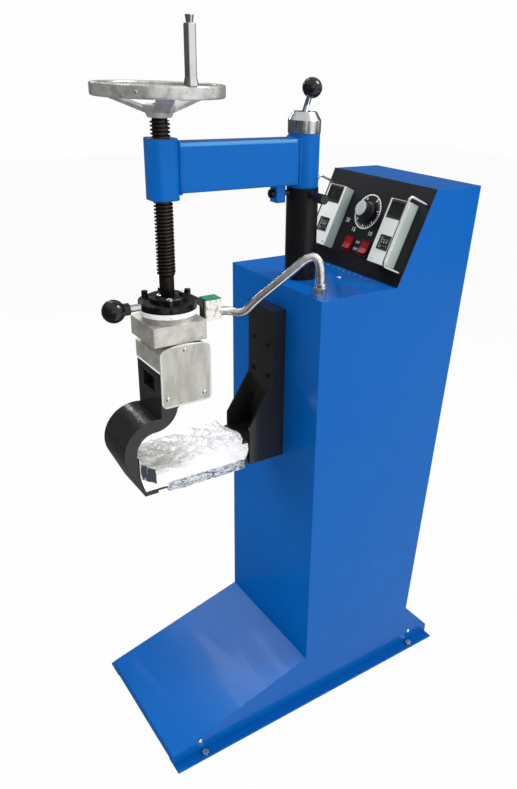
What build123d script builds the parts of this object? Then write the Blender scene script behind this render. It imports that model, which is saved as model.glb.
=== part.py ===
import os
from math import atan2, cos, hypot, pi, radians, sin, tan

from build123d import *

os.makedirs("parts", exist_ok=True)

# ---------------------------------------------------------------- driving dimensions (mm)
# Frame: +Z up, -Y towards the operator, +X to the operator's right, floor at z = 0.

# Clearances
seat_gap = 0.05  # between flat faces that bear on each other across a joint
run_fit = 0.05  # radial clearance of a shaft in its bore
press_gap = 0.3  # between the closed mould halves
soft_gap = 0.3  # between a soft piece and what it lies on
panel_fit = 0.2  # round a module in its panel cut-out

# Base rails and cabinet
rail_thickness = 4.0
rail_reach = 20.0
rail_inner_leg = 20.0
rail_height = 44.0
rail_leg_front_inset = 85.0
sole_front_y = -40.0
rail_leg_back_inset = 35.0
cabinet_width = 310.0
sheet = 2.5
front_toe_y = -323.0
rear_toe_y = 373.0
toe_height = 26.0
foot_height = 112.0
column_height = 932.0
console_rise = 177.0
console_height = column_height + console_rise
panel_foot_y = 178.0
panel_head_y = 258.0
console_back_y = 375.0
column_back_y = 297.0
skirt_screw_z = 33.0
skirt_screw_inset = 60.0
anchor_radius = 4.0
anchor_head_radius = 7.5
anchor_head_height = 6.0
anchor_inset = 66.0
vent_count = 8
vent_pitch = 18.0
vent_length = 12.0
vent_width = 4.0
vent_from_panel = 14.0

# Post and swing arm
post_y = 61.0
post_radius = 30.0
post_wall = 5.0
spindle_radius = 22.0
sleeve_radius = 29.0
sleeve_bore = 24.5
bushing_length = 24.0
sleeve_bottom = 1104.0
sleeve_height = 96.0
arm_width = 40.0
arm_height = 80.0
arm_wall = 4.0
arm_bottom = 1111.5
boss_width = 48.0
boss_corner = 14.0
boss_bottom = 1100.7
boss_top = 1198.0
lug_width = 22.0
lug_length = 19.0
lug_drop = 31.5
lug_front_y = -3.5
lock_screw_radius = 5.0
lock_screw_head_radius = 8.0
lock_screw_head = 8.0
clamp_knob_z = 1091.0
clamp_stud_radius = 4.0
clamp_knob_radius = 9.0
clamp_knob_length = 26.0
clamp_stud_length = 14.0
cap_radius = 30.0
cap_skirt = 22.0
cap_cone = 14.0
cap_top_radius = 21.5
lever_tilt = 26.7
lever_radius = 5.0
lever_length = 45.0
lever_root = 12.0
lever_ball_radius = 17.5
lever_seat = 6.0

# Press screw and handwheel
screw_y = -221.0
thread_radius = 16.0
thread_root = 12.6
thread_pitch = 6.0
thread_bottom = 971.0
thread_turns = 43
neck_radius = 12.8
journal_radius = 10.0
thrust_radius = 19.0
thrust_height = 8.0
nut_radius = 20.5
hub_bottom_radius = 19.0
hub_top_radius = 25.5
hub_height = 19.0
wheel_radius = 105.0
rim_width = 13.0
rim_height = 20.0
rim_centre_z = 1270.0
spoke_count = 3
spoke_first_angle = -18.0
spoke_width = 26.0
spoke_thickness = 6.0
grip_angle = 4.0
grip_pin_radius = 4.0
grip_radius = 8.8
grip_foot_radius = 11.5
grip_length = 82.7
grip_cap_radius = 5.0
grip_cap_height = 11.0

# Pressing head
flange_radius = 51.0
flange_bottom = 916.0
flange_thickness = 12.5
ring_radius = 33.5
ring_thickness = 8.5
insulation_thickness = 9.0
block_x = 95.0
block_y = 102.0
block_bottom = 861.3
block_height = 34.7
block_boss_radius = 46.0
head_screw_radius = 3.0
head_screw_head_radius = 5.5
head_screw_head = 6.0
head_screw_circle = 25.5
tall_screw_height = 11.0
tall_screw_inset = 7.5
handle_step = 2.0
handle_seat = 12.0
handle_collar = 7.0
bracket_flat_y = -174.0
heater_end_wall = 12.0
handle_radius = 6.5
handle_rod_length = 34.0
handle_ball_radius = 20.0
terminal_x = 26.0
terminal_y = 31.0
terminal_z = 38.0
terminal_x_centre = -3.0
terminal_front_y = -151.0
terminal_bottom = 879.0
terminal_wall = 2.0
bracket_plate = 3.0
bracket_strip = 14.0
heater_bore = 5.2
heater_radius = 5.0

# Lower mould and gooseneck
lower_x = 100.0
lower_y = 98.0
lower_front_y = -264.0
lower_bottom = 812.5
crown_drop = 14.0
plate_thickness = 2.5
plate_height = 115.5
plate_corner = 12.0
plate_shoulder = 7.0
gooseneck_width = 94.0
neck_back_y = -172.0
socket_width = 46.0
socket_height = 28.0
socket_depth = 16.0
socket_bottom = 770.0
throat_y = -277.0
throat_z = 665.0
throat_radius = 37.0
shell_thickness = 24.0
heel_angle = 25.0
shoulder_reach = 45.0
shoulder_rise = 37.0
shoulder_mid_reach = 32.0
shoulder_mid_rise = 13.0
neck_flare = 14.0
arm_top = 628.0
lower_arm_height = 51.0
lower_arm_width = 80.0
lower_arm_wall = 5.0
film_wall = 1.2
film_side = 5.0
film_front_y = -275.0
film_back_y = -86.0
film_under = 4.0

# Bracket on the cabinet front
bracket_width = 90.0
bracket_depth = 28.0
bracket_wall = 4.5
bracket_bottom = 575.0
bracket_top = 887.0
gusset_top = 738.0
gusset_shoulder = 656.0
gusset_reach = 80.0
bracket_bolt_rows = (817.0, 750.0, 690.0)
bracket_bolt_spacing = 52.0
bolt_radius = 4.0
bolt_head_radius = 5.5
bolt_head_height = 3.0
bolt_grip = 12.0

# Control panel, measured on its own slanted plane
panel_thickness = 2.0
module_inset_left = 34.0  # from the panel's left edge
module_inset_right = 82.0  # from the panel's right edge
module_left = module_inset_left - cabinet_width / 2
module_right = cabinet_width / 2 - module_inset_right
module_width = 54.0
module_bottom = 29.0
module_height = 127.0
module_proud = 23.0
module_behind = 55.0
module_cut_inset = 5.0
digit_count = 3
digit_width = 6.0
digit_gap = 0.8
digit_radius = 12.0
digit_bore = 2.0
digit_v = 70.5
digit_window = 24.0
digit_proud = 1.0
timer_u = -2.5
timer_v = 121.8
timer_body_side = 48.0
timer_depth = 40.0
timer_shaft_radius = 3.0
knob_skirt_radius = 20.0
knob_radius = 15.0
knob_height = 21.0
knob_skirt_height = 3.0
knob_lift = 0.5
rocker_left_u = -22.0
rocker_right_u = 29.0
rocker_v = 50.0
rocker_width = 24.0
rocker_height = 28.0
rocker_frame_proud = 3.0
rocker_depth = 20.0
rocker_lip = 2.0
rocker_wall = 1.5
rocker_pin_radius = 1.5
rocker_pivot_lift = 0.5
rocker_throw = 8.0
rocker_foot = 9.0
rocker_drop = 8.0
rocker_tip = 11.6
rocker_crest = 4.4
rocker_dip = 2.8
handle_inset_left = 23.0
handle_inset_right = 7.0
handle_left_u = handle_inset_left - cabinet_width / 2
handle_right_u = cabinet_width / 2 - handle_inset_right
handle_foot_v = 27.0
handle_head_v = 162.0
handle_standoff = 50.0
handle_rod_radius = 2.5
handle_bend = 9.0

# Electrical pieces
gland_inset = 31.0
gland_x = cabinet_width / 2 - gland_inset
gland_y = 19.0
gland_hex = 22.0
gland_height = 23.0
gland_neck = 7.0
hose_radius = 8.2
hose_hump_rise = 48.5
hose_straight = 26.0
mains_gland_z = 180.0
mains_gland_x = 90.0
mains_gland_radius = 11.0
mains_gland_bore = 5.0
mains_gland_length = 22.0
gland_collar = 7.0

# ---------------------------------------------------------------- derived places
half = cabinet_width / 2
post_bottom = 2 * rail_thickness
sleeve_top = sleeve_bottom + sleeve_height
hub_bottom = thread_bottom + thread_turns * thread_pitch + seat_gap
flange_top = flange_bottom + flange_thickness
ring_top = flange_top + ring_thickness
block_top = block_bottom + block_height
insulation_bottom = flange_bottom - insulation_thickness
lower_crown_top = block_bottom - press_gap
plate_bottom = lower_crown_top - plate_height
panel_run = panel_head_y - panel_foot_y
panel_rise = console_height - column_height
panel_length = hypot(panel_run, panel_rise)
panel_tilt = atan2(panel_rise, panel_run)
cap_bottom = sleeve_top + seat_gap
bolt_columns = (-bracket_bolt_spacing / 2, bracket_bolt_spacing / 2)
bolt_spots = [(x, z) for z in bracket_bolt_rows for x in bolt_columns]
flange_mid = flange_bottom + flange_thickness / 2
film_height = lower_arm_height + soft_gap + film_under
film_mid_z = arm_top + soft_gap - film_height / 2


def slant(w=0.0):
    """The plane of the slanted panel, w outwards from the cabinet's sheet."""
    face = Plane(origin=(0, panel_foot_y, column_height), x_dir=(1, 0, 0), z_dir=(0, -panel_rise, panel_run))
    return face.offset(w)


def post_plane(z):
    return Plane(origin=(0, post_y, z), x_dir=(1, 0, 0), z_dir=(0, 0, 1))


def screw_plane(z):
    return Plane(origin=(0, screw_y, z), x_dir=(1, 0, 0), z_dir=(0, 0, 1))


def finish(piece, name):
    """Label a finished piece and write it as its own file."""
    piece.part.label = name
    export_step(piece.part, f"parts/{name}.step")


# ---------------------------------------------------------------- cabinet
# One folded sheet profile: sloping front foot, column, slanted panel face, console, leaning back, rear foot.
cabinet_outline = [
    (front_toe_y, rail_thickness),
    (front_toe_y, toe_height),
    (0, foot_height),
    (0, column_height),
    (panel_foot_y, column_height),
    (panel_head_y, console_height),
    (console_back_y, console_height),
    (column_back_y, foot_height),
    (rear_toe_y, toe_height),
    (rear_toe_y, rail_thickness),
]
back_lean = atan2(console_back_y - column_back_y, console_height - foot_height)
door_width = 230.0
door_height = 640.0
door_bottom = 230.0
door_lap = 12.0
door_sheet = 1.5
back_run = console_back_y - column_back_y
back_rise = console_height - foot_height


def back_plane(w=0.0):
    """The plane of the leaning back sheet, w outwards."""
    face = Plane(origin=(0, column_back_y, foot_height), x_dir=(-1, 0, 0), z_dir=(0, back_rise, -back_run))
    return face.offset(w)


with BuildPart() as cabinet_shell:
    with BuildSketch(Plane.YZ):
        with BuildLine():
            Polyline(*cabinet_outline, close=True)
        make_face()
    extrude(amount=half, both=True)
    offset(amount=-sheet, openings=cabinet_shell.faces().sort_by(Axis.Z)[0])
    # panel opening
    with BuildSketch(slant()):
        with Locations((0, panel_length / 2)):
            Rectangle(cabinet_width - 2 * door_lap, panel_length - 2 * door_lap)
    extrude(amount=-sheet * 3, mode=Mode.SUBTRACT)
    # opening behind the rear door
    with BuildSketch(back_plane()):
        with Locations((0, door_bottom - foot_height + door_height / 2)):
            Rectangle(door_width - 2 * door_lap, door_height - 2 * door_lap)
    extrude(amount=-sheet * 3, mode=Mode.SUBTRACT)
    # post, conduit gland and vent slots in the column's top
    with BuildSketch(Plane.XY.offset(column_height)):
        with Locations((0, post_y)):
            Circle(post_radius)
        with Locations((gland_x, gland_y)):
            Circle(gland_neck + panel_fit)
        with Locations((vent_pitch, panel_foot_y - vent_from_panel)):
            with GridLocations(vent_pitch, vent_pitch, vent_count, 1):
                SlotOverall(vent_length, vent_width)
    extrude(amount=-sheet * 2, mode=Mode.SUBTRACT)
    # bolts of the lower arm's bracket through the column's front
    with BuildSketch(Plane.XZ):
        with Locations(*bolt_spots):
            Circle(bolt_radius)
    extrude(amount=-sheet * 2, mode=Mode.SUBTRACT)
    # mains gland hole in the back
    with BuildSketch(back_plane()):
        with Locations((-mains_gland_x, mains_gland_z - foot_height)):
            Circle(mains_gland_radius - sheet)
    extrude(amount=-sheet * 3, mode=Mode.SUBTRACT)
finish(cabinet_shell, "cabinet_shell")

# Angle rails under both sides: a flat ledge outside the skirt and a leg up inside it.
ledge_mid_x = half + (rail_reach - sheet - rail_inner_leg) / 2
leg_front_y = front_toe_y + rail_leg_front_inset
leg_back_y = rear_toe_y - rail_leg_back_inset
for side, rail_name in ((-1, "base_rail_left"), (1, "base_rail_right")):
    with BuildPart() as rail:
        with BuildSketch(Plane.XY):
            with Locations((side * ledge_mid_x, (front_toe_y + rear_toe_y) / 2)):
                Rectangle(rail_reach + sheet + rail_inner_leg, rear_toe_y - front_toe_y)
            with Locations(
                (side * (half + rail_reach / 2), front_toe_y + anchor_inset),
                (side * (half + rail_reach / 2), rear_toe_y - anchor_inset),
            ):
                Circle(anchor_radius, mode=Mode.SUBTRACT)
        extrude(amount=rail_thickness)
        with BuildSketch(Plane.XY.offset(rail_thickness)):
            with Locations((side * (half - sheet - rail_thickness / 2), (leg_front_y + leg_back_y) / 2)):
                Rectangle(rail_thickness, leg_back_y - leg_front_y)
        extrude(amount=rail_height - rail_thickness)
    finish(rail, rail_name)

with BuildPart() as rail_bolts:
    for x in (-half - rail_reach / 2, half + rail_reach / 2):
        for y in (front_toe_y + anchor_inset, rear_toe_y - anchor_inset):
            with BuildSketch(Plane.XY.offset(rail_thickness)):
                with Locations((x, y)):
                    RegularPolygon(anchor_head_radius, 6)
            extrude(amount=anchor_head_height)
            with BuildSketch(Plane.XY):
                with Locations((x, y)):
                    Circle(anchor_radius)
            extrude(amount=rail_thickness)
finish(rail_bolts, "rail_bolts")

with BuildPart() as rear_door:
    with BuildSketch(back_plane()):
        with Locations((0, door_bottom - foot_height + door_height / 2)):
            RectangleRounded(door_width, door_height, door_lap / 2)
    extrude(amount=door_sheet)
finish(rear_door, "rear_door")

# ---------------------------------------------------------------- post
with BuildPart() as post:
    with BuildSketch(post_plane(post_bottom)):
        Circle(post_radius)
        Circle(post_radius - post_wall, mode=Mode.SUBTRACT)
    extrude(amount=sleeve_bottom - seat_gap - post_bottom)
    with BuildSketch(post_plane(sleeve_bottom - seat_gap)):
        Circle(post_radius)
    extrude(amount=-spindle_radius)
    with BuildSketch(post_plane(sleeve_bottom - seat_gap)):
        Circle(spindle_radius)
    extrude(amount=sleeve_height + cap_skirt)
    # tapped hole for the clamp knob's stud
    with BuildSketch(Plane(origin=(0, post_y, clamp_knob_z), x_dir=(0, 1, 0), z_dir=(1, 0, 0))):
        Circle(clamp_stud_radius + run_fit)
    extrude(amount=post_radius + seat_gap, mode=Mode.SUBTRACT)
finish(post, "post")

# Box beam across the rails that carries the post's foot.
with BuildPart() as post_beam:
    with BuildSketch(Plane.YZ):
        with Locations((post_y, (rail_height + rail_thickness) / 2)):
            Rectangle(2 * (post_radius + rail_thickness), rail_height - rail_thickness)
            Rectangle(2 * post_radius, rail_height - 3 * rail_thickness, mode=Mode.SUBTRACT)
    extrude(amount=half - sheet - rail_thickness, both=True)
    with BuildSketch(post_plane(post_bottom)):
        Circle(post_radius)
    extrude(amount=rail_height - post_bottom, mode=Mode.SUBTRACT)
    # sole plate between the rails
    with BuildSketch(Plane.XY):
        with Locations((0, (post_y + post_radius + rail_thickness + sole_front_y) / 2)):
            Rectangle(
                cabinet_width - 2 * (sheet + rail_inner_leg),
                post_y + post_radius + rail_thickness - sole_front_y,
            )
    extrude(amount=rail_thickness)
finish(post_beam, "post_beam")

# Channel inside the column that ties the post to the bracket bolts.
spine_bottom = bracket_bottom + bracket_wall
spine_top = bracket_top - bracket_wall
with BuildPart() as spine_channel:
    with BuildSketch(Plane.XY.offset(spine_bottom)):
        with Locations((0, sheet + (post_y - post_radius - sheet) / 2)):
            Rectangle(bracket_width, post_y - post_radius - sheet)
            Rectangle(
                bracket_width - 4 * bracket_wall,
                post_y - post_radius - sheet - bracket_wall * 2,
                mode=Mode.SUBTRACT,
            )
    extrude(amount=spine_top - spine_bottom)
    with BuildSketch(Plane.XZ):
        with Locations(*bolt_spots):
            Circle(bolt_radius)
    extrude(amount=-bolt_grip, mode=Mode.SUBTRACT)
finish(spine_channel, "spine_channel")

# Clamp knob with its stud in the post, below the sleeve.
with BuildPart() as clamp_knob:
    knob_plane = Plane(origin=(0, post_y, clamp_knob_z), x_dir=(0, 1, 0), z_dir=(1, 0, 0))
    with BuildSketch(knob_plane.offset(post_radius - 2 * post_wall)):
        Circle(clamp_stud_radius)
    extrude(amount=2 * post_wall + clamp_stud_length)
    with BuildSketch(knob_plane.offset(post_radius + clamp_stud_length)):
        Circle(clamp_knob_radius)
        with PolarLocations(clamp_knob_radius + 1.2, 8):
            Circle(2.2, mode=Mode.SUBTRACT)
    extrude(amount=clamp_knob_length)
finish(clamp_knob, "clamp_knob")

# ---------------------------------------------------------------- swing arm
lug_back_y = lug_front_y + lug_length
with BuildPart() as swing_arm:
    # box tube
    with BuildSketch(Plane.XY.offset(arm_bottom)):
        with Locations((0, (screw_y + post_y) / 2)):
            Rectangle(arm_width, post_y - screw_y)
    extrude(amount=arm_height)
    # hollow of the tube
    with BuildSketch(Plane.XY.offset(arm_bottom + arm_wall)):
        with Locations((0, (screw_y + post_y) / 2)):
            Rectangle(arm_width - 2 * arm_wall, post_y - screw_y)
    extrude(amount=arm_height - 2 * arm_wall, mode=Mode.SUBTRACT)
    # boss for the nut
    with BuildSketch(screw_plane(boss_bottom)):
        RectangleRounded(boss_width, boss_width, boss_corner)
    extrude(amount=boss_top - boss_bottom)
    # sleeve round the post's spindle
    with BuildSketch(post_plane(sleeve_bottom)):
        Circle(sleeve_radius)
    extrude(amount=sleeve_height)
    # lug that hangs in front of the post
    with BuildSketch(Plane.XY.offset(arm_bottom)):
        with Locations((0, (lug_front_y + lug_back_y) / 2)):
            Rectangle(lug_width, lug_length)
    extrude(amount=-lug_drop)
    with BuildSketch(post_plane(sleeve_bottom)):
        Circle(sleeve_bore)
    extrude(amount=sleeve_height, mode=Mode.SUBTRACT)
    with BuildSketch(screw_plane(boss_bottom)):
        Circle(nut_radius)
    extrude(amount=boss_top - boss_bottom, mode=Mode.SUBTRACT)
    with BuildSketch(Plane.XZ.offset(-lug_back_y)):
        with Locations((0, arm_bottom - lug_drop / 2)):
            Circle(lock_screw_radius)
    extrude(amount=lug_length, mode=Mode.SUBTRACT)
finish(swing_arm, "swing_arm")

with BuildPart() as screw_nut:
    with BuildSketch(screw_plane(boss_bottom)):
        Circle(nut_radius)
        Circle(thread_radius + run_fit, mode=Mode.SUBTRACT)
    extrude(amount=boss_top - boss_bottom)
finish(screw_nut, "screw_nut")

with BuildPart() as arm_bushings:
    for bushing_bottom in (sleeve_bottom, sleeve_top - bushing_length):
        with BuildSketch(post_plane(bushing_bottom)):
            Circle(sleeve_bore)
            Circle(spindle_radius + run_fit, mode=Mode.SUBTRACT)
        extrude(amount=bushing_length)
finish(arm_bushings, "arm_bushings")

# Locking screw through the lug, its head to the front and its tip by the post.
with BuildPart() as swing_lock_screw:
    with BuildSketch(Plane.XZ.offset(-lug_front_y)):
        with Locations((0, arm_bottom - lug_drop / 2)):
            Circle(lock_screw_head_radius)
    extrude(amount=lock_screw_head)
    fillet(swing_lock_screw.faces().sort_by(Axis.Y)[0].edges(), 1.5)
    with BuildSketch(Plane.XZ.offset(-lug_front_y)):
        with Locations((0, arm_bottom - lug_drop / 2)):
            Circle(lock_screw_radius)
    extrude(amount=-(post_y - post_radius - soft_gap - lug_front_y))
finish(swing_lock_screw, "swing_lock_screw")

# ---------------------------------------------------------------- clamping cap on the spindle
cap_top = cap_bottom + cap_skirt + cap_cone
lever_axis = Plane(origin=(0, post_y, cap_top), x_dir=(1, 0, 0), z_dir=(0, 0, 1)).rotated((0, lever_tilt, 0))

with BuildPart() as lock_cap:
    with BuildSketch(Plane.XZ.offset(-post_y)):
        with BuildLine():
            Polyline(
                (0, cap_bottom),
                (cap_radius, cap_bottom),
                (cap_radius, cap_bottom + cap_skirt),
                (cap_top_radius, cap_top),
                (0, cap_top),
                close=True,
            )
        make_face()
    revolve(axis=Axis((0, post_y, 0), (0, 0, 1)))
    with BuildSketch(post_plane(cap_bottom)):
        Circle(spindle_radius + run_fit)
    extrude(amount=cap_skirt, mode=Mode.SUBTRACT)
    # slanting socket of the lever
    with BuildSketch(lever_axis.offset(-lever_root)):
        Circle(lever_radius)
    extrude(amount=lever_length, mode=Mode.SUBTRACT)
finish(lock_cap, "lock_cap")

with BuildPart() as lever_rod:
    with BuildSketch(lever_axis.offset(-lever_root)):
        Circle(lever_radius)
    extrude(amount=lever_length - lever_ball_radius + lever_seat + lever_root)
finish(lever_rod, "lever_rod")

with BuildPart() as lever_ball:
    with Locations(lever_axis.offset(lever_length)):
        Sphere(lever_ball_radius)
    with BuildSketch(lever_axis.offset(lever_length - lever_ball_radius - lever_seat)):
        Circle(lever_radius)
    extrude(amount=2 * lever_seat, mode=Mode.SUBTRACT)
finish(lever_ball, "lever_ball")

# ---------------------------------------------------------------- press screw and handwheel
wheel_bore = thread_root
rim_bottom = rim_centre_z - rim_height / 2
rim_top = rim_centre_z + rim_height / 2
hub_top = hub_bottom + hub_height
thread_flat = thread_pitch * 0.32
thread_slope = thread_pitch * 0.13

thread_outline = [(0, ring_top), (neck_radius, ring_top), (neck_radius, thread_bottom)]
for turn in range(thread_turns):
    crest_bottom = thread_bottom + turn * thread_pitch
    thread_outline += [
        (thread_root, crest_bottom),
        (thread_radius, crest_bottom + thread_slope),
        (thread_radius, crest_bottom + thread_slope + thread_flat),
        (thread_root, crest_bottom + 2 * thread_slope + thread_flat),
    ]
thread_outline += [
    (thread_root, hub_bottom),
    (journal_radius, hub_bottom),
    (journal_radius, hub_top + 2),
    (0, hub_top + 2),
]
with BuildPart() as press_screw:
    with BuildSketch(Plane.XZ.offset(-screw_y)):
        with BuildLine():
            Polyline(*thread_outline, close=True)
        make_face()
    revolve(axis=Axis((0, screw_y, 0), (0, 0, 1)))
    # journal down through the retaining ring to the thrust collar
    with BuildSketch(screw_plane(flange_bottom + thrust_height)):
        Circle(journal_radius)
    extrude(amount=ring_top - flange_bottom - thrust_height)
finish(press_screw, "press_screw")

spoke_root = hub_top_radius - spoke_thickness
spoke_tip = wheel_radius - rim_width + spoke_thickness / 2
spoke_low = hub_top - 2 * spoke_thickness
spoke_high = rim_bottom
with BuildPart() as handwheel:
    with BuildSketch(Plane.XZ.offset(-screw_y)):
        with BuildLine():
            Polyline(
                (journal_radius, hub_bottom),
                (hub_bottom_radius, hub_bottom),
                (hub_top_radius, hub_top - spoke_thickness),
                (hub_top_radius, hub_top),
                (journal_radius, hub_top),
                close=True,
            )
        make_face()
        with Locations((wheel_radius - rim_width / 2, rim_centre_z)):
            RectangleRounded(rim_width, rim_height, rim_width / 4)
    revolve(axis=Axis((0, screw_y, 0), (0, 0, 1)))
    for spoke in range(spoke_count):
        spoke_plane = screw_plane(0).rotated((0, 0, spoke_first_angle + spoke * 360 / spoke_count))
        spoke_face = Plane(origin=spoke_plane.origin, x_dir=spoke_plane.x_dir, z_dir=-spoke_plane.y_dir)
        with BuildSketch(spoke_face):
            with BuildLine():
                Polyline(
                    (spoke_root, spoke_low),
                    (spoke_tip, spoke_high),
                    (spoke_tip, spoke_high + spoke_thickness),
                    (spoke_root, spoke_low + spoke_thickness),
                    close=True,
                )
            make_face()
        extrude(amount=spoke_width / 2, both=True)
    with BuildSketch(screw_plane(hub_bottom)):
        Circle(journal_radius)
    extrude(amount=rim_top - hub_bottom, mode=Mode.SUBTRACT)
    # tapped hole of the grip's pin
    grip_reach = wheel_radius - rim_width / 2
    grip_place = screw_plane(rim_top).rotated((0, 0, grip_angle))
    with BuildSketch(grip_place):
        with Locations((grip_reach, 0)):
            Circle(grip_pin_radius)
    extrude(amount=-rim_height / 2, mode=Mode.SUBTRACT)
finish(handwheel, "handwheel")

grip_plane = Plane(
    origin=grip_place.from_local_coords(Vector(grip_reach, 0, 0)), x_dir=(1, 0, 0), z_dir=(0, 0, 1)
)
with BuildPart() as grip_pin:
    with BuildSketch(grip_plane.offset(-rim_height / 2)):
        Circle(grip_pin_radius)
    extrude(amount=rim_height / 2 + grip_length + 2 * seat_gap)
    with BuildSketch(grip_plane.offset(grip_length + 2 * seat_gap)):
        Circle(grip_cap_radius)
    extrude(amount=grip_cap_height, taper=-8)
finish(grip_pin, "grip_pin")

with BuildPart() as wheel_grip:
    with BuildSketch(Plane(origin=grip_plane.origin, x_dir=(1, 0, 0), z_dir=(0, -1, 0))):
        with BuildLine():
            Polyline(
                (grip_pin_radius + run_fit, seat_gap),
                (grip_foot_radius, seat_gap),
                (grip_radius, 3 * grip_pin_radius),
                (grip_radius, grip_length + seat_gap),
                (grip_pin_radius + run_fit, grip_length + seat_gap),
                close=True,
            )
        make_face()
    revolve(axis=Axis(grip_plane.origin, (0, 0, 1)))
finish(wheel_grip, "wheel_grip")

# ---------------------------------------------------------------- pressing head
# Thrust collar: takes the push of the turning screw and lets the head stand still or swivel.
with BuildPart() as thrust_collar:
    with BuildSketch(screw_plane(flange_bottom + seat_gap)):
        Circle(thrust_radius)
    extrude(amount=thrust_height - 2 * seat_gap)
finish(thrust_collar, "thrust_collar")

handle_foot_y = screw_y - flange_radius
handle_plane = Plane(origin=(0, handle_foot_y, flange_mid), x_dir=(1, 0, 0), z_dir=(0, -1, 0))
screw_spots = [(head_screw_circle, angle) for angle in (-60, 60, 180)]
tall_spots = [(flange_radius - tall_screw_inset, angle) for angle in (-20, 100, 220)]
with BuildPart() as head_flange:
    with BuildSketch(screw_plane(flange_bottom)):
        Circle(flange_radius)
        Circle(journal_radius + run_fit, mode=Mode.SUBTRACT)
    extrude(amount=flange_thickness)
    with BuildSketch(screw_plane(flange_bottom)):
        Circle(thrust_radius + run_fit)
    extrude(amount=thrust_height, mode=Mode.SUBTRACT)
    with BuildSketch(screw_plane(flange_top)):
        for radius, angle in screw_spots + tall_spots:
            with PolarLocations(radius, 1, start_angle=angle):
                Circle(head_screw_radius)
    extrude(amount=-flange_thickness, mode=Mode.SUBTRACT)
    # tapped side hole of the handle
    with BuildSketch(handle_plane):
        Circle(handle_radius - handle_step)
    extrude(amount=-handle_seat, mode=Mode.SUBTRACT)
    # flat where the terminal box's bracket bolts on
    with BuildSketch(screw_plane(flange_bottom)):
        with Locations((0, bracket_flat_y - screw_y + flange_radius / 2)):
            Rectangle(2 * flange_radius, flange_radius)
    extrude(amount=flange_thickness, mode=Mode.SUBTRACT)
finish(head_flange, "head_flange")

with BuildPart() as retaining_ring:
    with BuildSketch(screw_plane(flange_top)):
        Circle(ring_radius)
        Circle(journal_radius + run_fit, mode=Mode.SUBTRACT)
        for radius, angle in screw_spots:
            with PolarLocations(radius, 1, start_angle=angle):
                Circle(head_screw_radius, mode=Mode.SUBTRACT)
    extrude(amount=ring_thickness - seat_gap)
    chamfer(retaining_ring.faces().sort_by(Axis.Z)[-1].edges().sort_by(SortBy.LENGTH)[-1], 1.5)
finish(retaining_ring, "retaining_ring")

with BuildPart() as head_screws:
    for radius, angle in screw_spots:
        with BuildSketch(screw_plane(ring_top - seat_gap)):
            with PolarLocations(radius, 1, start_angle=angle):
                Circle(head_screw_head_radius)
        extrude(amount=head_screw_head)
        with BuildSketch(screw_plane(ring_top - seat_gap)):
            with PolarLocations(radius, 1, start_angle=angle):
                Circle(head_screw_radius)
        extrude(amount=-ring_thickness - flange_thickness / 2)
    for radius, angle in tall_spots:
        with BuildSketch(screw_plane(flange_top)):
            with PolarLocations(radius, 1, start_angle=angle):
                Circle(head_screw_head_radius)
        extrude(amount=tall_screw_height)
        with BuildSketch(screw_plane(flange_top)):
            with PolarLocations(radius, 1, start_angle=angle):
                Circle(head_screw_radius)
        extrude(amount=-flange_thickness)
finish(head_screws, "head_screws")

with BuildPart() as insulation_ring:
    with BuildSketch(screw_plane(insulation_bottom)):
        Circle(flange_radius)
    extrude(amount=insulation_thickness)
    with BuildSketch(screw_plane(insulation_bottom)):
        with Locations((0, bracket_flat_y - screw_y + flange_radius / 2)):
            Rectangle(2 * flange_radius, flange_radius)
    extrude(amount=insulation_thickness, mode=Mode.SUBTRACT)
finish(insulation_ring, "insulation_ring")

block_back_y = screw_y + block_y / 2
block_bores = [(x, block_bottom + block_height / 2) for x in (-block_x / 4, block_x / 4)]
with BuildPart() as upper_heater_block:
    with BuildSketch(screw_plane(block_bottom)):
        Rectangle(block_x, block_y)
    extrude(amount=block_height)
    chamfer(upper_heater_block.edges().filter_by(Axis.Z), 1.5)
    with BuildSketch(screw_plane(block_top)):
        Circle(block_boss_radius)
    extrude(amount=insulation_bottom - block_top)
    with BuildSketch(Plane.XZ.offset(-block_back_y)):
        with Locations(*block_bores):
            Circle(heater_bore)
    extrude(amount=block_y - heater_end_wall, mode=Mode.SUBTRACT)
finish(upper_heater_block, "upper_heater_block")

with BuildPart() as upper_heating_elements:
    with BuildSketch(Plane.XZ.offset(-block_back_y)):
        with Locations(*block_bores):
            Circle(heater_radius)
    extrude(amount=block_y - heater_end_wall)
finish(upper_heating_elements, "upper_heating_elements")

with BuildPart() as handle_rod:
    with BuildSketch(handle_plane.offset(-handle_seat)):
        Circle(handle_radius - handle_step)
    extrude(amount=handle_seat)
    with BuildSketch(handle_plane):
        Circle(handle_radius)
    extrude(amount=handle_rod_length)
finish(handle_rod, "handle_rod")

with BuildPart() as handle_ball:
    with Locations(handle_plane.offset(handle_rod_length - lever_seat + handle_ball_radius)):
        Sphere(handle_ball_radius)
    with BuildSketch(handle_plane.offset(handle_rod_length - lever_seat - handle_collar)):
        Circle(handle_radius + 2 * handle_step)
    extrude(amount=handle_collar + lever_seat)
    with BuildSketch(handle_plane.offset(handle_rod_length - lever_seat - handle_collar)):
        Circle(handle_radius)
    extrude(amount=handle_collar + lever_seat, mode=Mode.SUBTRACT)
finish(handle_ball, "handle_ball")

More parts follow.
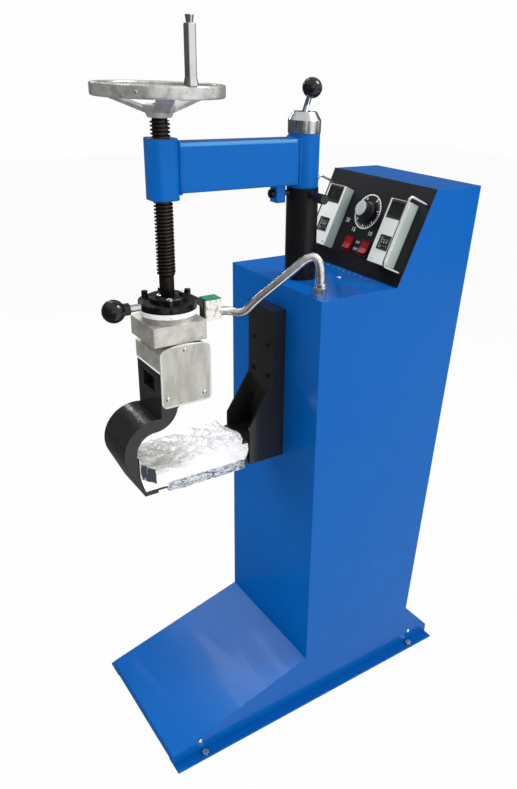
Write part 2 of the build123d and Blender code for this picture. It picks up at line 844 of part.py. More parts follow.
terminal_back_y = terminal_front_y + terminal_y
terminal_top = terminal_bottom + terminal_z
hose_z = terminal_bottom + hose_radius + terminal_wall
with BuildPart() as terminal_box:
    with BuildSketch(Plane.XY.offset(terminal_bottom)):
        with Locations((terminal_x_centre, (terminal_front_y + terminal_back_y) / 2)):
            Rectangle(terminal_x, terminal_y)
    extrude(amount=terminal_z)
    with BuildSketch(Plane.XY.offset(terminal_bottom + terminal_wall)):
        with Locations((terminal_x_centre, (terminal_front_y + terminal_back_y) / 2)):
            Rectangle(terminal_x - 2 * terminal_wall, terminal_y - 2 * terminal_wall)
    extrude(amount=terminal_z, mode=Mode.SUBTRACT)
finish(terminal_box, "terminal_box")

with BuildPart() as terminal_lid:
    with BuildSketch(Plane.XY.offset(terminal_top)):
        with Locations((terminal_x_centre, (terminal_front_y + terminal_back_y) / 2)):
            Rectangle(terminal_x, terminal_y)
    extrude(amount=terminal_wall)
finish(terminal_lid, "terminal_lid")

# Angle bracket from the flange's flat to the terminal box.
with BuildPart() as terminal_bracket:
    with BuildSketch(Plane.YZ.offset(terminal_x_centre)):
        with BuildLine():
            Polyline(
                (bracket_flat_y, flange_top),
                (bracket_flat_y, flange_bottom),
                (bracket_flat_y + bracket_plate, flange_bottom),
                (terminal_front_y - bracket_plate, terminal_top - bracket_strip),
                (terminal_front_y - bracket_plate, terminal_bottom),
                (terminal_front_y, terminal_bottom),
                (terminal_front_y, terminal_top),
                (bracket_flat_y + bracket_plate, flange_top),
                close=True,
            )
        make_face()
    extrude(amount=bracket_strip / 2, both=True)
finish(terminal_bracket, "terminal_bracket")

# ---------------------------------------------------------------- lower mould
lower_back_y = lower_front_y + lower_y
lower_mid_y = (lower_front_y + lower_back_y) / 2
lower_height = lower_crown_top - lower_bottom
with BuildPart() as lower_heater_body:
    with BuildSketch(Plane.YZ):
        with BuildLine():
            Polyline(
                (lower_back_y, lower_crown_top - crown_drop),
                (lower_back_y, lower_bottom),
                (lower_front_y, lower_bottom),
                (lower_front_y, lower_crown_top - crown_drop),
            )
            ThreePointArc(
                (lower_front_y, lower_crown_top - crown_drop),
                (lower_mid_y, lower_crown_top),
                (lower_back_y, lower_crown_top - crown_drop),
            )
        make_face()
    extrude(amount=lower_x / 2, both=True)
    with BuildSketch(Plane.YZ.offset(-lower_x / 2)):
        with Locations(
            (lower_mid_y - lower_y / 4, lower_bottom + lower_height / 2),
            (lower_mid_y + lower_y / 4, lower_bottom + lower_height / 2),
        ):
            Circle(heater_bore)
    extrude(amount=lower_x - heater_end_wall, mode=Mode.SUBTRACT)
finish(lower_heater_body, "lower_heater_body")

with BuildPart() as lower_heating_elements:
    with BuildSketch(Plane.YZ.offset(-lower_x / 2)):
        with Locations(
            (lower_mid_y - lower_y / 4, lower_bottom + lower_height / 2),
            (lower_mid_y + lower_y / 4, lower_bottom + lower_height / 2),
        ):
            Circle(heater_radius)
    extrude(amount=lower_x - heater_end_wall)
finish(lower_heating_elements, "lower_heating_elements")

with BuildPart() as cover_plate:
    with BuildSketch(Plane.YZ.offset(lower_x / 2)) as plate_face:
        with BuildLine():
            Polyline(
                (lower_back_y, lower_crown_top - plate_shoulder),
                (lower_back_y, plate_bottom),
                (lower_front_y, plate_bottom),
                (lower_front_y, lower_crown_top - plate_shoulder),
            )
            ThreePointArc(
                (lower_front_y, lower_crown_top - plate_shoulder),
                (lower_mid_y, lower_crown_top),
                (lower_back_y, lower_crown_top - plate_shoulder),
            )
        make_face()
        fillet(plate_face.vertices(), plate_corner)
    extrude(amount=plate_thickness)
finish(cover_plate, "cover_plate")

# Gooseneck: the neck under the heater and the C that leads back to the lower arm, open towards the cabinet.
arm_floor = arm_top - lower_arm_height
shell_radius = throat_radius + shell_thickness
neck_foot_z = throat_z + (shell_radius**2 - (lower_front_y - throat_y) ** 2) ** 0.5
heel_plane_y = throat_y - shell_radius * cos(radians(heel_angle))
heel_plane_z = throat_z - shell_radius * sin(radians(heel_angle))
heel_foot_y = heel_plane_y + (heel_plane_z - arm_floor) * tan(radians(heel_angle))
crook_y = throat_y + shoulder_reach
crook_z = throat_z + throat_radius + shoulder_rise
with BuildPart() as gooseneck:
    with BuildSketch(Plane.YZ):
        with BuildLine():
            Polyline(
                (crook_y, crook_z),
                (neck_back_y, lower_bottom - neck_flare),
                (neck_back_y, lower_bottom),
                (lower_front_y, lower_bottom),
                (lower_front_y, neck_foot_z),
            )
            ThreePointArc(
                (lower_front_y, neck_foot_z),
                (
                    throat_y - shell_radius * cos(radians(40)),
                    throat_z + shell_radius * sin(radians(40)),
                ),
                (heel_plane_y, heel_plane_z),
            )
            Polyline(
                (heel_plane_y, heel_plane_z),
                (heel_foot_y, arm_floor),
                (throat_y, arm_floor),
                (throat_y, throat_z - throat_radius),
            )
            ThreePointArc(
                (throat_y, throat_z - throat_radius),
                (throat_y - throat_radius, throat_z),
                (throat_y, throat_z + throat_radius),
            )
            ThreePointArc(
                (throat_y, throat_z + throat_radius),
                (throat_y + shoulder_mid_reach, throat_z + throat_radius + shoulder_mid_rise),
                (crook_y, crook_z),
            )
        make_face()
    extrude(amount=gooseneck_width / 2, both=True)
    # socket in the neck's front face
    with BuildSketch(Plane.XZ.offset(-lower_front_y)):
        with Locations((0, socket_bottom + socket_height / 2)):
            Rectangle(socket_width, socket_height)
    extrude(amount=-socket_depth, mode=Mode.SUBTRACT)
finish(gooseneck, "gooseneck")

with BuildPart() as lower_arm:
    with BuildSketch(Plane.XZ.offset(-throat_y)):
        with Locations((0, (arm_floor + arm_top) / 2)):
            Rectangle(lower_arm_width, lower_arm_height)
            Rectangle(
                lower_arm_width - 2 * lower_arm_wall,
                lower_arm_height - 2 * lower_arm_wall,
                mode=Mode.SUBTRACT,
            )
    extrude(amount=throat_y + bracket_depth)
finish(lower_arm, "lower_arm")

with BuildPart() as protective_film:
    with BuildSketch(Plane.XZ.offset(-film_front_y)):
        with Locations((0, film_mid_z)):
            RectangleRounded(
                lower_arm_width + 2 * (film_side + film_wall),
                film_height + 2 * film_wall,
                film_side + film_wall,
            )
            RectangleRounded(lower_arm_width + 2 * film_side, film_height, film_side, mode=Mode.SUBTRACT)
    extrude(amount=film_front_y - film_back_y)
finish(protective_film, "protective_film")

# ---------------------------------------------------------------- bracket on the cabinet's front
with BuildPart() as arm_bracket:
    with BuildSketch(Plane.XZ):
        with Locations((0, (bracket_bottom + bracket_top) / 2)):
            Rectangle(bracket_width, bracket_top - bracket_bottom)
    extrude(amount=bracket_depth)
    with BuildSketch(Plane.XZ):
        with Locations((0, (bracket_bottom + bracket_top) / 2)):
            Rectangle(bracket_width - 2 * bracket_wall, bracket_top - bracket_bottom - 2 * bracket_wall)
    extrude(amount=bracket_depth - bracket_wall, mode=Mode.SUBTRACT)
    for side in (-1, 1):
        with BuildSketch(Plane.YZ.offset(side * bracket_width / 2)):
            with BuildLine():
                Polyline(
                    (-bracket_depth, gusset_top),
                    (-gusset_reach, gusset_shoulder),
                    (-gusset_reach, bracket_bottom),
                    (-bracket_depth, bracket_bottom),
                    close=True,
                )
            make_face()
        extrude(amount=-side * bracket_wall)
    with BuildSketch(Plane.XZ.offset(bracket_depth)):
        with Locations(*bolt_spots):
            Circle(bolt_radius)
    extrude(amount=-bracket_depth, mode=Mode.SUBTRACT)
finish(arm_bracket, "arm_bracket")

with BuildPart() as bracket_bolts:
    with BuildSketch(Plane.XZ.offset(bracket_depth)):
        with Locations(*bolt_spots):
            RegularPolygon(bolt_head_radius, 6)
    extrude(amount=bolt_head_height)
    with BuildSketch(Plane.XZ.offset(bracket_depth)):
        with Locations(*bolt_spots):
            Circle(bolt_radius)
    extrude(amount=-(bracket_depth + bolt_grip))
finish(bracket_bolts, "bracket_bolts")

# ---------------------------------------------------------------- control panel
module_spots = [module_left + module_width / 2, module_right + module_width / 2]
module_v = module_bottom + module_height / 2
rocker_spots = [rocker_left_u, rocker_right_u]
with BuildPart() as control_panel:
    with BuildSketch(slant()):
        with Locations((0, panel_length / 2)):
            Rectangle(cabinet_width, panel_length)
        with Locations(*[(u, module_v) for u in module_spots]):
            Rectangle(
                module_width - 2 * module_cut_inset, module_height - 2 * module_cut_inset, mode=Mode.SUBTRACT
            )
        with Locations(*[(u, rocker_v) for u in rocker_spots]):
            Rectangle(rocker_width, rocker_height, mode=Mode.SUBTRACT)
        with Locations((timer_u, timer_v)):
            Circle(timer_shaft_radius + panel_fit, mode=Mode.SUBTRACT)
    extrude(amount=panel_thickness)
finish(control_panel, "control_panel")

digit_pitch = digit_width + digit_gap
digit_w = panel_thickness + module_proud - digit_radius + digit_proud
for u, module_name in zip(module_spots, ("temp_controller_left", "temp_controller_right")):
    with BuildPart() as controller:
        with BuildSketch(slant(panel_thickness)):
            with Locations((u, module_v)):
                Rectangle(module_width, module_height)
        extrude(amount=module_proud)
        with BuildSketch(slant(panel_thickness)):
            with Locations((u, module_v)):
                Rectangle(module_width - 2 * module_cut_inset, module_height - 2 * module_cut_inset)
        extrude(amount=-module_behind)
        # pocket of the digit wheels, with their axle left across it
        with BuildSketch(slant(panel_thickness + module_proud)):
            with Locations((u, digit_v)):
                Rectangle(digit_count * digit_pitch + digit_gap, digit_window)
        extrude(amount=-2 * digit_radius, mode=Mode.SUBTRACT)
        axle_face = Plane(
            origin=slant(digit_w).from_local_coords(Vector(u - digit_count * digit_pitch, digit_v, 0)),
            x_dir=(0, 1, 0),
            z_dir=(1, 0, 0),
        )
        with BuildSketch(axle_face):
            Circle(digit_bore)
        extrude(amount=2 * digit_count * digit_pitch)
    finish(controller, module_name)
    side_name = module_name.rsplit("_", 1)[1]
    for digit in range(digit_count):
        with BuildPart() as digit_wheel:
            wheel_u = u + (digit - (digit_count - 1) / 2) * digit_pitch
            wheel_face = Plane(
                origin=slant(digit_w).from_local_coords(Vector(wheel_u - digit_width / 2, digit_v, 0)),
                x_dir=(0, 1, 0),
                z_dir=(1, 0, 0),
            )
            with BuildSketch(wheel_face):
                Circle(digit_radius - digit_proud / 2)
                Circle(digit_bore + run_fit, mode=Mode.SUBTRACT)
            extrude(amount=digit_width)
        finish(digit_wheel, f"digit_{side_name}_{digit + 1}")

with BuildPart() as timer_body:
    with BuildSketch(slant()):
        with Locations((timer_u, timer_v)):
            Rectangle(timer_body_side, timer_body_side)
            Circle(timer_shaft_radius + run_fit, mode=Mode.SUBTRACT)
    extrude(amount=-timer_depth)
finish(timer_body, "timer_body")

with BuildPart() as timer_knob:
    with BuildSketch(slant(panel_thickness + knob_lift)):
        with Locations((timer_u, timer_v)):
            Circle(knob_skirt_radius)
    extrude(amount=knob_skirt_height)
    with BuildSketch(slant(panel_thickness + knob_lift + knob_skirt_height)):
        with Locations((timer_u, timer_v)):
            Circle(knob_radius)
    extrude(amount=knob_height - knob_skirt_height)
    with BuildSketch(slant(panel_thickness + knob_lift)):
        with Locations((timer_u, timer_v)):
            Circle(timer_shaft_radius)
    extrude(amount=-timer_depth / 2)
finish(timer_knob, "timer_knob")

rocker_w = panel_thickness + rocker_pivot_lift
rocker_rest = panel_tilt - radians(rocker_throw)
for u, side_name in zip(rocker_spots, ("left", "right")):
    with BuildPart() as rocker_frame:
        with BuildSketch(slant(panel_thickness)):
            with Locations((u, rocker_v)):
                Rectangle(rocker_width + 2 * rocker_lip, rocker_height + 2 * rocker_lip)
        extrude(amount=rocker_frame_proud)
        with BuildSketch(slant(panel_thickness)):
            with Locations((u, rocker_v)):
                Rectangle(rocker_width, rocker_height)
        extrude(amount=-rocker_depth)
        with BuildSketch(slant(panel_thickness + rocker_frame_proud)):
            with Locations((u, rocker_v)):
                Rectangle(rocker_width - 2 * rocker_wall, rocker_height - 2 * rocker_wall)
        extrude(amount=-(rocker_frame_proud + rocker_depth - rocker_wall), mode=Mode.SUBTRACT)
        pivot_face = Plane(
            origin=slant(rocker_w).from_local_coords(Vector(u - rocker_width / 2, rocker_v, 0)),
            x_dir=(0, 1, 0),
            z_dir=(1, 0, 0),
        )
        with BuildSketch(pivot_face):
            Circle(rocker_pin_radius + run_fit)
        extrude(amount=rocker_width, mode=Mode.SUBTRACT)
    finish(rocker_frame, f"rocker_frame_{side_name}")
    with BuildPart() as rocker:
        rest_plane = Plane(
            origin=slant(rocker_w).from_local_coords(Vector(u, rocker_v, 0)),
            x_dir=(0, cos(rocker_rest), sin(rocker_rest)),
            z_dir=(1, 0, 0),
        )
        with BuildSketch(rest_plane):
            with BuildLine():
                Polyline(
                    (-rocker_foot, -rocker_drop),
                    (rocker_foot, -rocker_drop),
                    (rocker_tip, rocker_crest),
                    (0, rocker_dip),
                    (-rocker_tip, rocker_crest),
                    close=True,
                )
            make_face()
        extrude(amount=rocker_width / 2 - rocker_wall - panel_fit, both=True)
        with BuildSketch(rest_plane):
            Circle(rocker_pin_radius)
        extrude(amount=rocker_width / 2 - rocker_wall / 2, both=True)
    finish(rocker, f"rocker_{side_name}")

for u, side_name in ((handle_left_u, "left"), (handle_right_u, "right")):
    with BuildPart() as guard:
        face = slant(panel_thickness)
        with BuildLine():
            FilletPolyline(
                face.from_local_coords(Vector(u, handle_foot_v, 0)),
                face.from_local_coords(Vector(u, handle_foot_v, handle_standoff)),
                face.from_local_coords(Vector(u, handle_head_v, handle_standoff)),
                face.from_local_coords(Vector(u, handle_head_v, 0)),
                radius=handle_bend,
            )
        foot = face.from_local_coords(Vector(u, handle_foot_v, 0))
        with BuildSketch(Plane(origin=foot, x_dir=(1, 0, 0), z_dir=face.z_dir)):
            Circle(handle_rod_radius)
        sweep()
    finish(guard, f"panel_handle_{side_name}")

# ---------------------------------------------------------------- conduit from the cabinet to the head
gland_top = column_height + gland_height
with BuildPart() as conduit_gland:
    with BuildSketch(Plane.XY.offset(column_height)):
        with Locations((gland_x, gland_y)):
            RegularPolygon(gland_hex / 2, 6, major_radius=False)
    extrude(amount=gland_height - gland_collar)
    with BuildSketch(Plane.XY.offset(column_height + gland_height - gland_collar)):
        with Locations((gland_x, gland_y)):
            Circle(hose_radius + 2)
    extrude(amount=gland_collar)
    with BuildSketch(Plane.XY.offset(column_height)):
        with Locations((gland_x, gland_y)):
            Circle(gland_neck)
    extrude(amount=-3 * sheet)
    with BuildSketch(Plane.XY.offset(gland_top)):
        with Locations((gland_x, gland_y)):
            Circle(gland_neck - 2)
    extrude(amount=-gland_height - 3 * sheet, mode=Mode.SUBTRACT)
finish(conduit_gland, "conduit_gland")

# The hose's centreline: corners at shares of the way from the terminal box's back face to the hump over
# the gland on the cabinet, and then straight down into the gland.
hump_place = (gland_x, gland_y, gland_top + hose_hump_rise)
hose_start = (terminal_x_centre, terminal_back_y, hose_z)
hose_shares = [
    (0.0, 0.0, 0.0),
    (0.0, 0.151, 0.0),
    (0.197, 0.288, -0.045),
    (0.386, 0.374, 0.234),
    (0.583, 0.525, 0.497),
    (0.764, 0.691, 0.759),
    (0.890, 0.849, 0.991),
    (0.969, 0.950, 1.0),
]
hose_route = [
    tuple(start + share * (end - start) for share, start, end in zip(shares, hose_start, hump_place))
    for shares in hose_shares
]
hose_route.append((gland_x, gland_y, gland_top + hose_straight))
hose_route.append((gland_x, gland_y, gland_top))


def arc_radii(route, share=0.45):
    """The largest tangent arc that each corner's two runs allow."""
    radii = []
    for before, corner, after in zip(route, route[1:], route[2:]):
        inward = Vector(*corner) - Vector(*before)
        outward = Vector(*after) - Vector(*corner)
        half_turn = radians(inward.get_angle(outward)) / 2
        radii.append(share * min(inward.length, outward.length) / tan(half_turn))
    return radii


hose_radii = arc_radii(hose_route)
print("hose bend radii", [round(radius, 1) for radius in hose_radii])
with BuildPart() as conduit_hose:
    with BuildLine() as hose_line:
        FilletPolyline(*hose_route, radius=hose_radii)
    with BuildSketch(Plane(origin=hose_route[0], z_dir=(0, 1, 0))):
        Circle(hose_radius)
    sweep()
hose_length = sum(edge.length for edge in hose_line.edges())
hose_volume = hose_length * pi * hose_radius**2
print("hose length", round(hose_length, 1), "volume ratio", round(conduit_hose.part.volume / hose_volume, 4))
finish(conduit_hose, "conduit_hose")

# ---------------------------------------------------------------- electrical pieces in the column
mains_face = back_plane()
mains_foot = mains_face.from_local_coords(Vector(-mains_gland_x, mains_gland_z - foot_height, 0))
mains_plane = Plane(origin=mains_foot, x_dir=(1, 0, 0), z_dir=mains_face.z_dir)
with BuildPart() as mains_gland:
    with BuildSketch(mains_plane):
        Circle(mains_gland_radius)
    extrude(amount=mains_gland_length)
    with BuildSketch(mains_plane):
        Circle(mains_gland_radius - sheet)
    extrude(amount=-4 * sheet)
    with BuildSketch(mains_plane.offset(mains_gland_length)):
        Circle(mains_gland_bore)
    extrude(amount=-mains_gland_length - 4 * sheet, mode=Mode.SUBTRACT)
finish(mains_gland, "mains_gland")
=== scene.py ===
import math

import bpy
import numpy as np
from mathutils import Matrix, Vector


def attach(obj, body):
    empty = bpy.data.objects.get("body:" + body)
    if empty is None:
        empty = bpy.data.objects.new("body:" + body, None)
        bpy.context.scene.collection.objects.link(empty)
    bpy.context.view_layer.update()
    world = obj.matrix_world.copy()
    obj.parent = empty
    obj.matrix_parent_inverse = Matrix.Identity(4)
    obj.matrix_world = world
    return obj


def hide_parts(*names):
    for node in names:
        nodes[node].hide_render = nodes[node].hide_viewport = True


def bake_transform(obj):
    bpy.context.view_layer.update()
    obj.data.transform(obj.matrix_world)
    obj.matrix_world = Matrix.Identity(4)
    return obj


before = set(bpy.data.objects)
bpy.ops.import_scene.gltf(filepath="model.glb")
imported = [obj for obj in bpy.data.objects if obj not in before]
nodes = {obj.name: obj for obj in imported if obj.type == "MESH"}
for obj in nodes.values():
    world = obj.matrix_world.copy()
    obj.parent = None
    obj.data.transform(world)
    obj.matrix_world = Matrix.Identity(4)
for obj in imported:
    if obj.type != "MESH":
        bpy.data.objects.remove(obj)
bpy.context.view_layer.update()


# ---------------------------------------------------------------- base rails and foot beam
# Two flat steel rails with an inner leg carry the cabinet, and a box beam between them stands under the post. All
# are sprayed with the same glossy blue enamel as the cabinet, and the rails are held by zinc-plated hexagon bolts.
class Socket:
    """A value in a material's graph. Arithmetic on it adds Math nodes."""

    def __init__(self, finish, output):
        self.finish, self.output = finish, output

    def math(self, operation, *values):
        return self.finish.node("ShaderNodeMath", {"operation": operation}, dict(enumerate(values)))

    def __add__(self, other):
        return self.math("ADD", self, other)

    __radd__ = __add__

    def __sub__(self, other):
        return self.math("SUBTRACT", self, other)

    def __rsub__(self, other):
        return self.math("SUBTRACT", other, self)

    def __mul__(self, other):
        return self.math("MULTIPLY", self, other)

    __rmul__ = __mul__

    def __pow__(self, other):
        return self.math("POWER", self, other)

    def size(self):
        return self.math("ABSOLUTE", self)

    def over(self, edge, blur=0.0005):
        """0 below the edge and 1 above it, turning smoothly across twice the blur."""
        values = {"Value": self, "From Min": edge - blur, "From Max": edge + blur, "To Min": 0.0, "To Max": 1.0}
        return self.finish.node("ShaderNodeMapRange", {"interpolation_type": "SMOOTHSTEP"}, values)

    def between(self, low, high, blur=0.0005):
        return self.over(low, blur) * (1 - self.over(high, blur))


class Finish:
    """A material with one Principled shader, built from expressions on the object's own coordinates."""

    def __init__(self, name, colour, roughness, metallic=0.0, **fixed):
        self.material = bpy.data.materials.new(name)
        self.material.use_nodes = True
        self.tree = self.material.node_tree
        self.tree.nodes.clear()
        self.surface = self.tree.nodes.new("ShaderNodeOutputMaterial")
        self.shader = self.tree.nodes.new("ShaderNodeBsdfPrincipled")
        self.tree.links.new(self.shader.outputs[0], self.surface.inputs[0])
        self.place = Socket(self, self.tree.nodes.new("ShaderNodeTexCoord").outputs["Object"])
        split = self.tree.nodes.new("ShaderNodeSeparateXYZ")
        self.tree.links.new(self.place.output, split.inputs[0])
        self.x, self.y, self.z = (Socket(self, output) for output in split.outputs)
        self.set("Base Color", colour).set("Roughness", roughness).set("Metallic", metallic)
        for socket, value in fixed.items():
            self.set(socket.replace("_", " "), value)

    def set(self, socket, value):
        target = self.shader.inputs[socket]
        if isinstance(value, Socket):
            self.tree.links.new(value.output, target)
        else:
            target.default_value = (*value, 1.0) if isinstance(value, tuple) else value
        return self

    def node(self, kind, settings, values, output=0):
        made = self.tree.nodes.new(kind)
        for key, value in settings.items():
            setattr(made, key, value)
        for key, value in values.items():
            if isinstance(value, Socket):
                self.tree.links.new(value.output, made.inputs[key])
            elif isinstance(value, tuple) and made.inputs[key].type == "RGBA":
                made.inputs[key].default_value = (*value, 1.0)
            else:
                made.inputs[key].default_value = value
        return Socket(self, made.outputs[output])

    def stretched(self, x, y, z):
        return self.node("ShaderNodeMapping", {"vector_type": "POINT"}, {"Vector": self.place, "Scale": (x, y, z)})

    def vector(self, x, y, z):
        return self.node("ShaderNodeCombineXYZ", {}, {0: x, 1: y, 2: z})

    def noise(self, scale, detail=2.0, rough=0.5, where=None, distortion=0.0):
        values = {"Vector": where or self.place, "Scale": scale, "Detail": detail}
        values |= {"Roughness": rough, "Distortion": distortion}
        return self.node("ShaderNodeTexNoise", {"noise_dimensions": "3D"}, values)

    def mix(self, mask, first, second):
        return self.node("ShaderNodeMix", {"data_type": "RGBA"}, {0: mask, 6: first, 7: second}, 2)

    def bump(self, height, distance, strength=1.0, edge=0.0):
        """A Bump node on the height, over edges that are rounded by that radius for light alone."""
        values = {"Height": height, "Distance": distance, "Strength": strength}
        if edge:
            values["Normal"] = self.node("ShaderNodeBevel", {"samples": 4}, {"Radius": edge})
        return self.set("Normal", self.node("ShaderNodeBump", {}, values))


def dress(finish, *names):
    """Gives these CAD nodes the finish."""
    for name in names:
        if not nodes[name].data.materials:
            nodes[name].data.materials.append(finish.material)
        for slot in nodes[name].material_slots:
            slot.material = finish.material


BLUE, BLUE_THIN = (0.0008, 0.090, 0.365), (0.0016, 0.104, 0.395)


def enamel(name, edge):
    """Glossy blue: two close blues in wide clouds, rubbed duller in streaks, with a faint orange peel."""
    paint = Finish(name, BLUE, 0.16, Specular_IOR_Level=0.14)
    coats = paint.noise(6, 3)
    rubbed = paint.noise(4, 4, where=paint.stretched(1.0, 6.0, 2.0))
    paint.set("Base Color", paint.mix(coats, BLUE, BLUE_THIN))
    paint.set("Roughness", 0.10 + 0.10 * coats + 0.12 * rubbed.over(0.62, 0.08))
    return paint.bump(paint.noise(260, 2), 0.00012, 0.35, edge=edge)


blue_enamel = enamel("blue_enamel", 0.0022)
dress(blue_enamel, "base_rail_left", "base_rail_right", "post_beam", "cabinet_shell", "rear_door")

zinc = Finish("zinc", (0.62, 0.63, 0.62), 0.3, 1.0)
spangle = zinc.noise(420, 3)
zinc.set("Base Color", zinc.mix(spangle.over(0.55, 0.1), (0.7, 0.71, 0.7), (0.42, 0.41, 0.38)))
zinc.set("Roughness", 0.2 + 0.3 * spangle)
zinc.bump(spangle, 0.0001, 0.5, edge=0.0005)
dress(zinc, "rail_bolts")


def skin(name, points, finish, body, around=False, caps=False, smooth=True):
    """A mesh over a grid of points (rows, columns, 3). around joins the last column to the first, and caps closes
    the first and last rows with a fan each."""
    rows, columns = points.shape[:2]
    index = np.arange(rows * columns).reshape(rows, columns)
    right = np.roll(index, -1, axis=1)
    last = columns if around else columns - 1
    quads = np.stack([index[:-1, :last], right[:-1, :last], right[1:, :last], index[1:, :last]], axis=-1).reshape(-1, 4)
    coordinates = points.reshape(-1, 3)
    faces = quads.tolist()
    if caps:
        coordinates = np.concatenate([coordinates, points[[0, -1]].mean(axis=1)])
        low = np.full(columns, rows * columns)
        faces += np.stack([np.roll(index[0], -1), index[0], low], axis=-1).tolist()
        faces += np.stack([index[-1], np.roll(index[-1], -1), low + 1], axis=-1).tolist()
    mesh = bpy.data.meshes.new(name)
    mesh.from_pydata(coordinates.tolist(), [], faces)
    mesh.polygons.foreach_set("use_smooth", [smooth] * len(mesh.polygons))
    mesh.materials.append(finish.material)
    mesh.update()
    if smooth:
        mesh.set_sharp_from_angle(angle=math.radians(40))
    piece = bpy.data.objects.new(name, mesh)
    bpy.context.scene.collection.objects.link(piece)
    if body:
        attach(piece, body)
    return piece


def across(direction):
    """Two unit vectors square to the direction and to each other, and the unit direction."""
    direction = np.asarray(direction, float) / np.linalg.norm(direction)
    helper = np.array([0.0, 0.0, 1.0]) if abs(direction[2]) < 0.9 else np.array([1.0, 0.0, 0.0])
    first = np.cross(helper, direction)
    first = first / np.linalg.norm(first)
    return first, np.cross(direction, first), direction


def turned(name, profile, foot, direction, finish, body, steps=32, ripple=None, turn=0.0):
    """A surface of revolution: each (radius, height) of the profile goes once round the axis from the foot.
    ripple is a function of (angle, height) that the radius is multiplied by."""
    first, second, axis = across(direction)
    profile = np.asarray(profile, float)
    angle = np.linspace(0, 2 * math.pi, steps, endpoint=False)[None] + turn
    radius, height = profile[:, :1], profile[:, 1:]
    radius = radius * (ripple(angle, height) if ripple else np.ones_like(angle))
    ring = radius[..., None] * (np.cos(angle)[..., None] * first + np.sin(angle)[..., None] * second)
    return skin(name, np.asarray(foot, float) + ring + height[..., None] * axis, finish, body, True, True)


def rounded(profile, radius, steps=4):
    """The profile with each corner between its ends replaced by a quadratic curve, radius from the corner."""
    profile = [np.asarray(p, float) for p in profile]
    points = [profile[0]]
    for before, corner, after in zip(profile, profile[1:], profile[2:]):
        to_before, to_after = before - corner, after - corner
        start = corner + to_before * min(0.45, radius / np.linalg.norm(to_before))
        end = corner + to_after * min(0.45, radius / np.linalg.norm(to_after))
        t = np.linspace(0, 1, steps)[:, None]
        points += list((1 - t) ** 2 * start + 2 * t * (1 - t) * corner + t**2 * end)
    return np.array(points + [profile[-1]])


# ---------------------------------------------------------------- cabinet screws
# Sheet-metal screws with low domed heads close the skirt over the rails, and one holds the column's top sheet.
bright_zinc = Finish("bright_zinc", (0.78, 0.79, 0.8), 0.22, 1.0)
bright_zinc.set("Roughness", 0.14 + 0.2 * bright_zinc.noise(500, 2))
bright_zinc.bump(bright_zinc.noise(900, 2), 0.00008, 0.4)


def dome_screw(name, place, out, radius, body, finish=bright_zinc):
    """A pan head: an ellipse's quarter turned round the outward axis, with a driver recess sunk in its middle."""
    t = np.linspace(0, 1, 7)[:, None] * math.pi / 2
    dome = np.c_[radius * np.cos(t * 0.86), radius * 0.5 * np.sin(t * 0.86)]
    recess = [(radius * 0.2, dome[-1, 1] - radius * 0.02), (radius * 0.16, dome[-1, 1] - radius * 0.3)]
    profile = np.r_[[(radius, -0.0006)], dome, recess]
    screw = turned(name, profile, place, out, finish, body, 20)
    return screw


for number, (x, y) in enumerate(((0.155, -0.263), (0.155, 0.313), (-0.155, -0.263), (-0.155, 0.313))):
    dome_screw(f"skirt_screw_{number + 1}", (x, y, 0.033), (math.copysign(1, x), 0, 0), 0.0045, "pedestal")
dome_screw("top_sheet_screw", (0.0426, 0.1262, 0.932), (0, 0, 1), 0.0045, "pedestal")

# ---------------------------------------------------------------- rear door
# The door on the leaning back is the same enamelled sheet, with pressed louvres over the heat of the controls, a
# pair of pin hinges and a black quarter-turn lock.
BACK_FOOT, BACK_HEAD = np.array([0.0, 0.297, 0.112]), np.array([0.0, 0.375, 1.109])
back_up = (BACK_HEAD - BACK_FOOT) / np.linalg.norm(BACK_HEAD - BACK_FOOT)
back_out = np.cross(back_up, (1.0, 0.0, 0.0))
corners = np.zeros(len(nodes["rear_door"].data.vertices) * 3)
nodes["rear_door"].data.vertices.foreach_get("co", corners)
door_face = float(((corners.reshape(-1, 3) - BACK_FOOT) @ back_out).max())
LOUVRE_WIDTH, LOUVRE_RISE, LOUVRE_DEPTH = 0.110, 0.011, 0.005
for number, up in enumerate(np.r_[np.arange(5) * 0.022 + 0.19, np.arange(5) * 0.022 + 0.60]):
    # An open-bottomed scoop: its depth is a quarter ellipse up the louvre and falls to nothing at both ends.
    s = np.linspace(-1, 1, 41)[None]
    t = np.linspace(0, 1, 9)[:, None]
    end = np.sqrt(np.clip(1 - np.abs(s) ** 10, 0, 1))
    depth = LOUVRE_DEPTH * np.cos(t * math.pi / 2) * end
    middle = BACK_FOOT + up * back_up + (door_face + 0.00005) * back_out
    scoop = middle + (s * LOUVRE_WIDTH / 2)[..., None] * np.array([1.0, 0, 0])
    scoop = scoop + (t * LOUVRE_RISE)[..., None] * back_up + depth[..., None] * back_out
    lip = scoop[:1] - depth[:1, :, None] * back_out - 0.0002 * back_up
    piece = skin(f"door_louvre_{number + 1}", np.concatenate([lip, scoop]), blue_enamel, "pedestal")

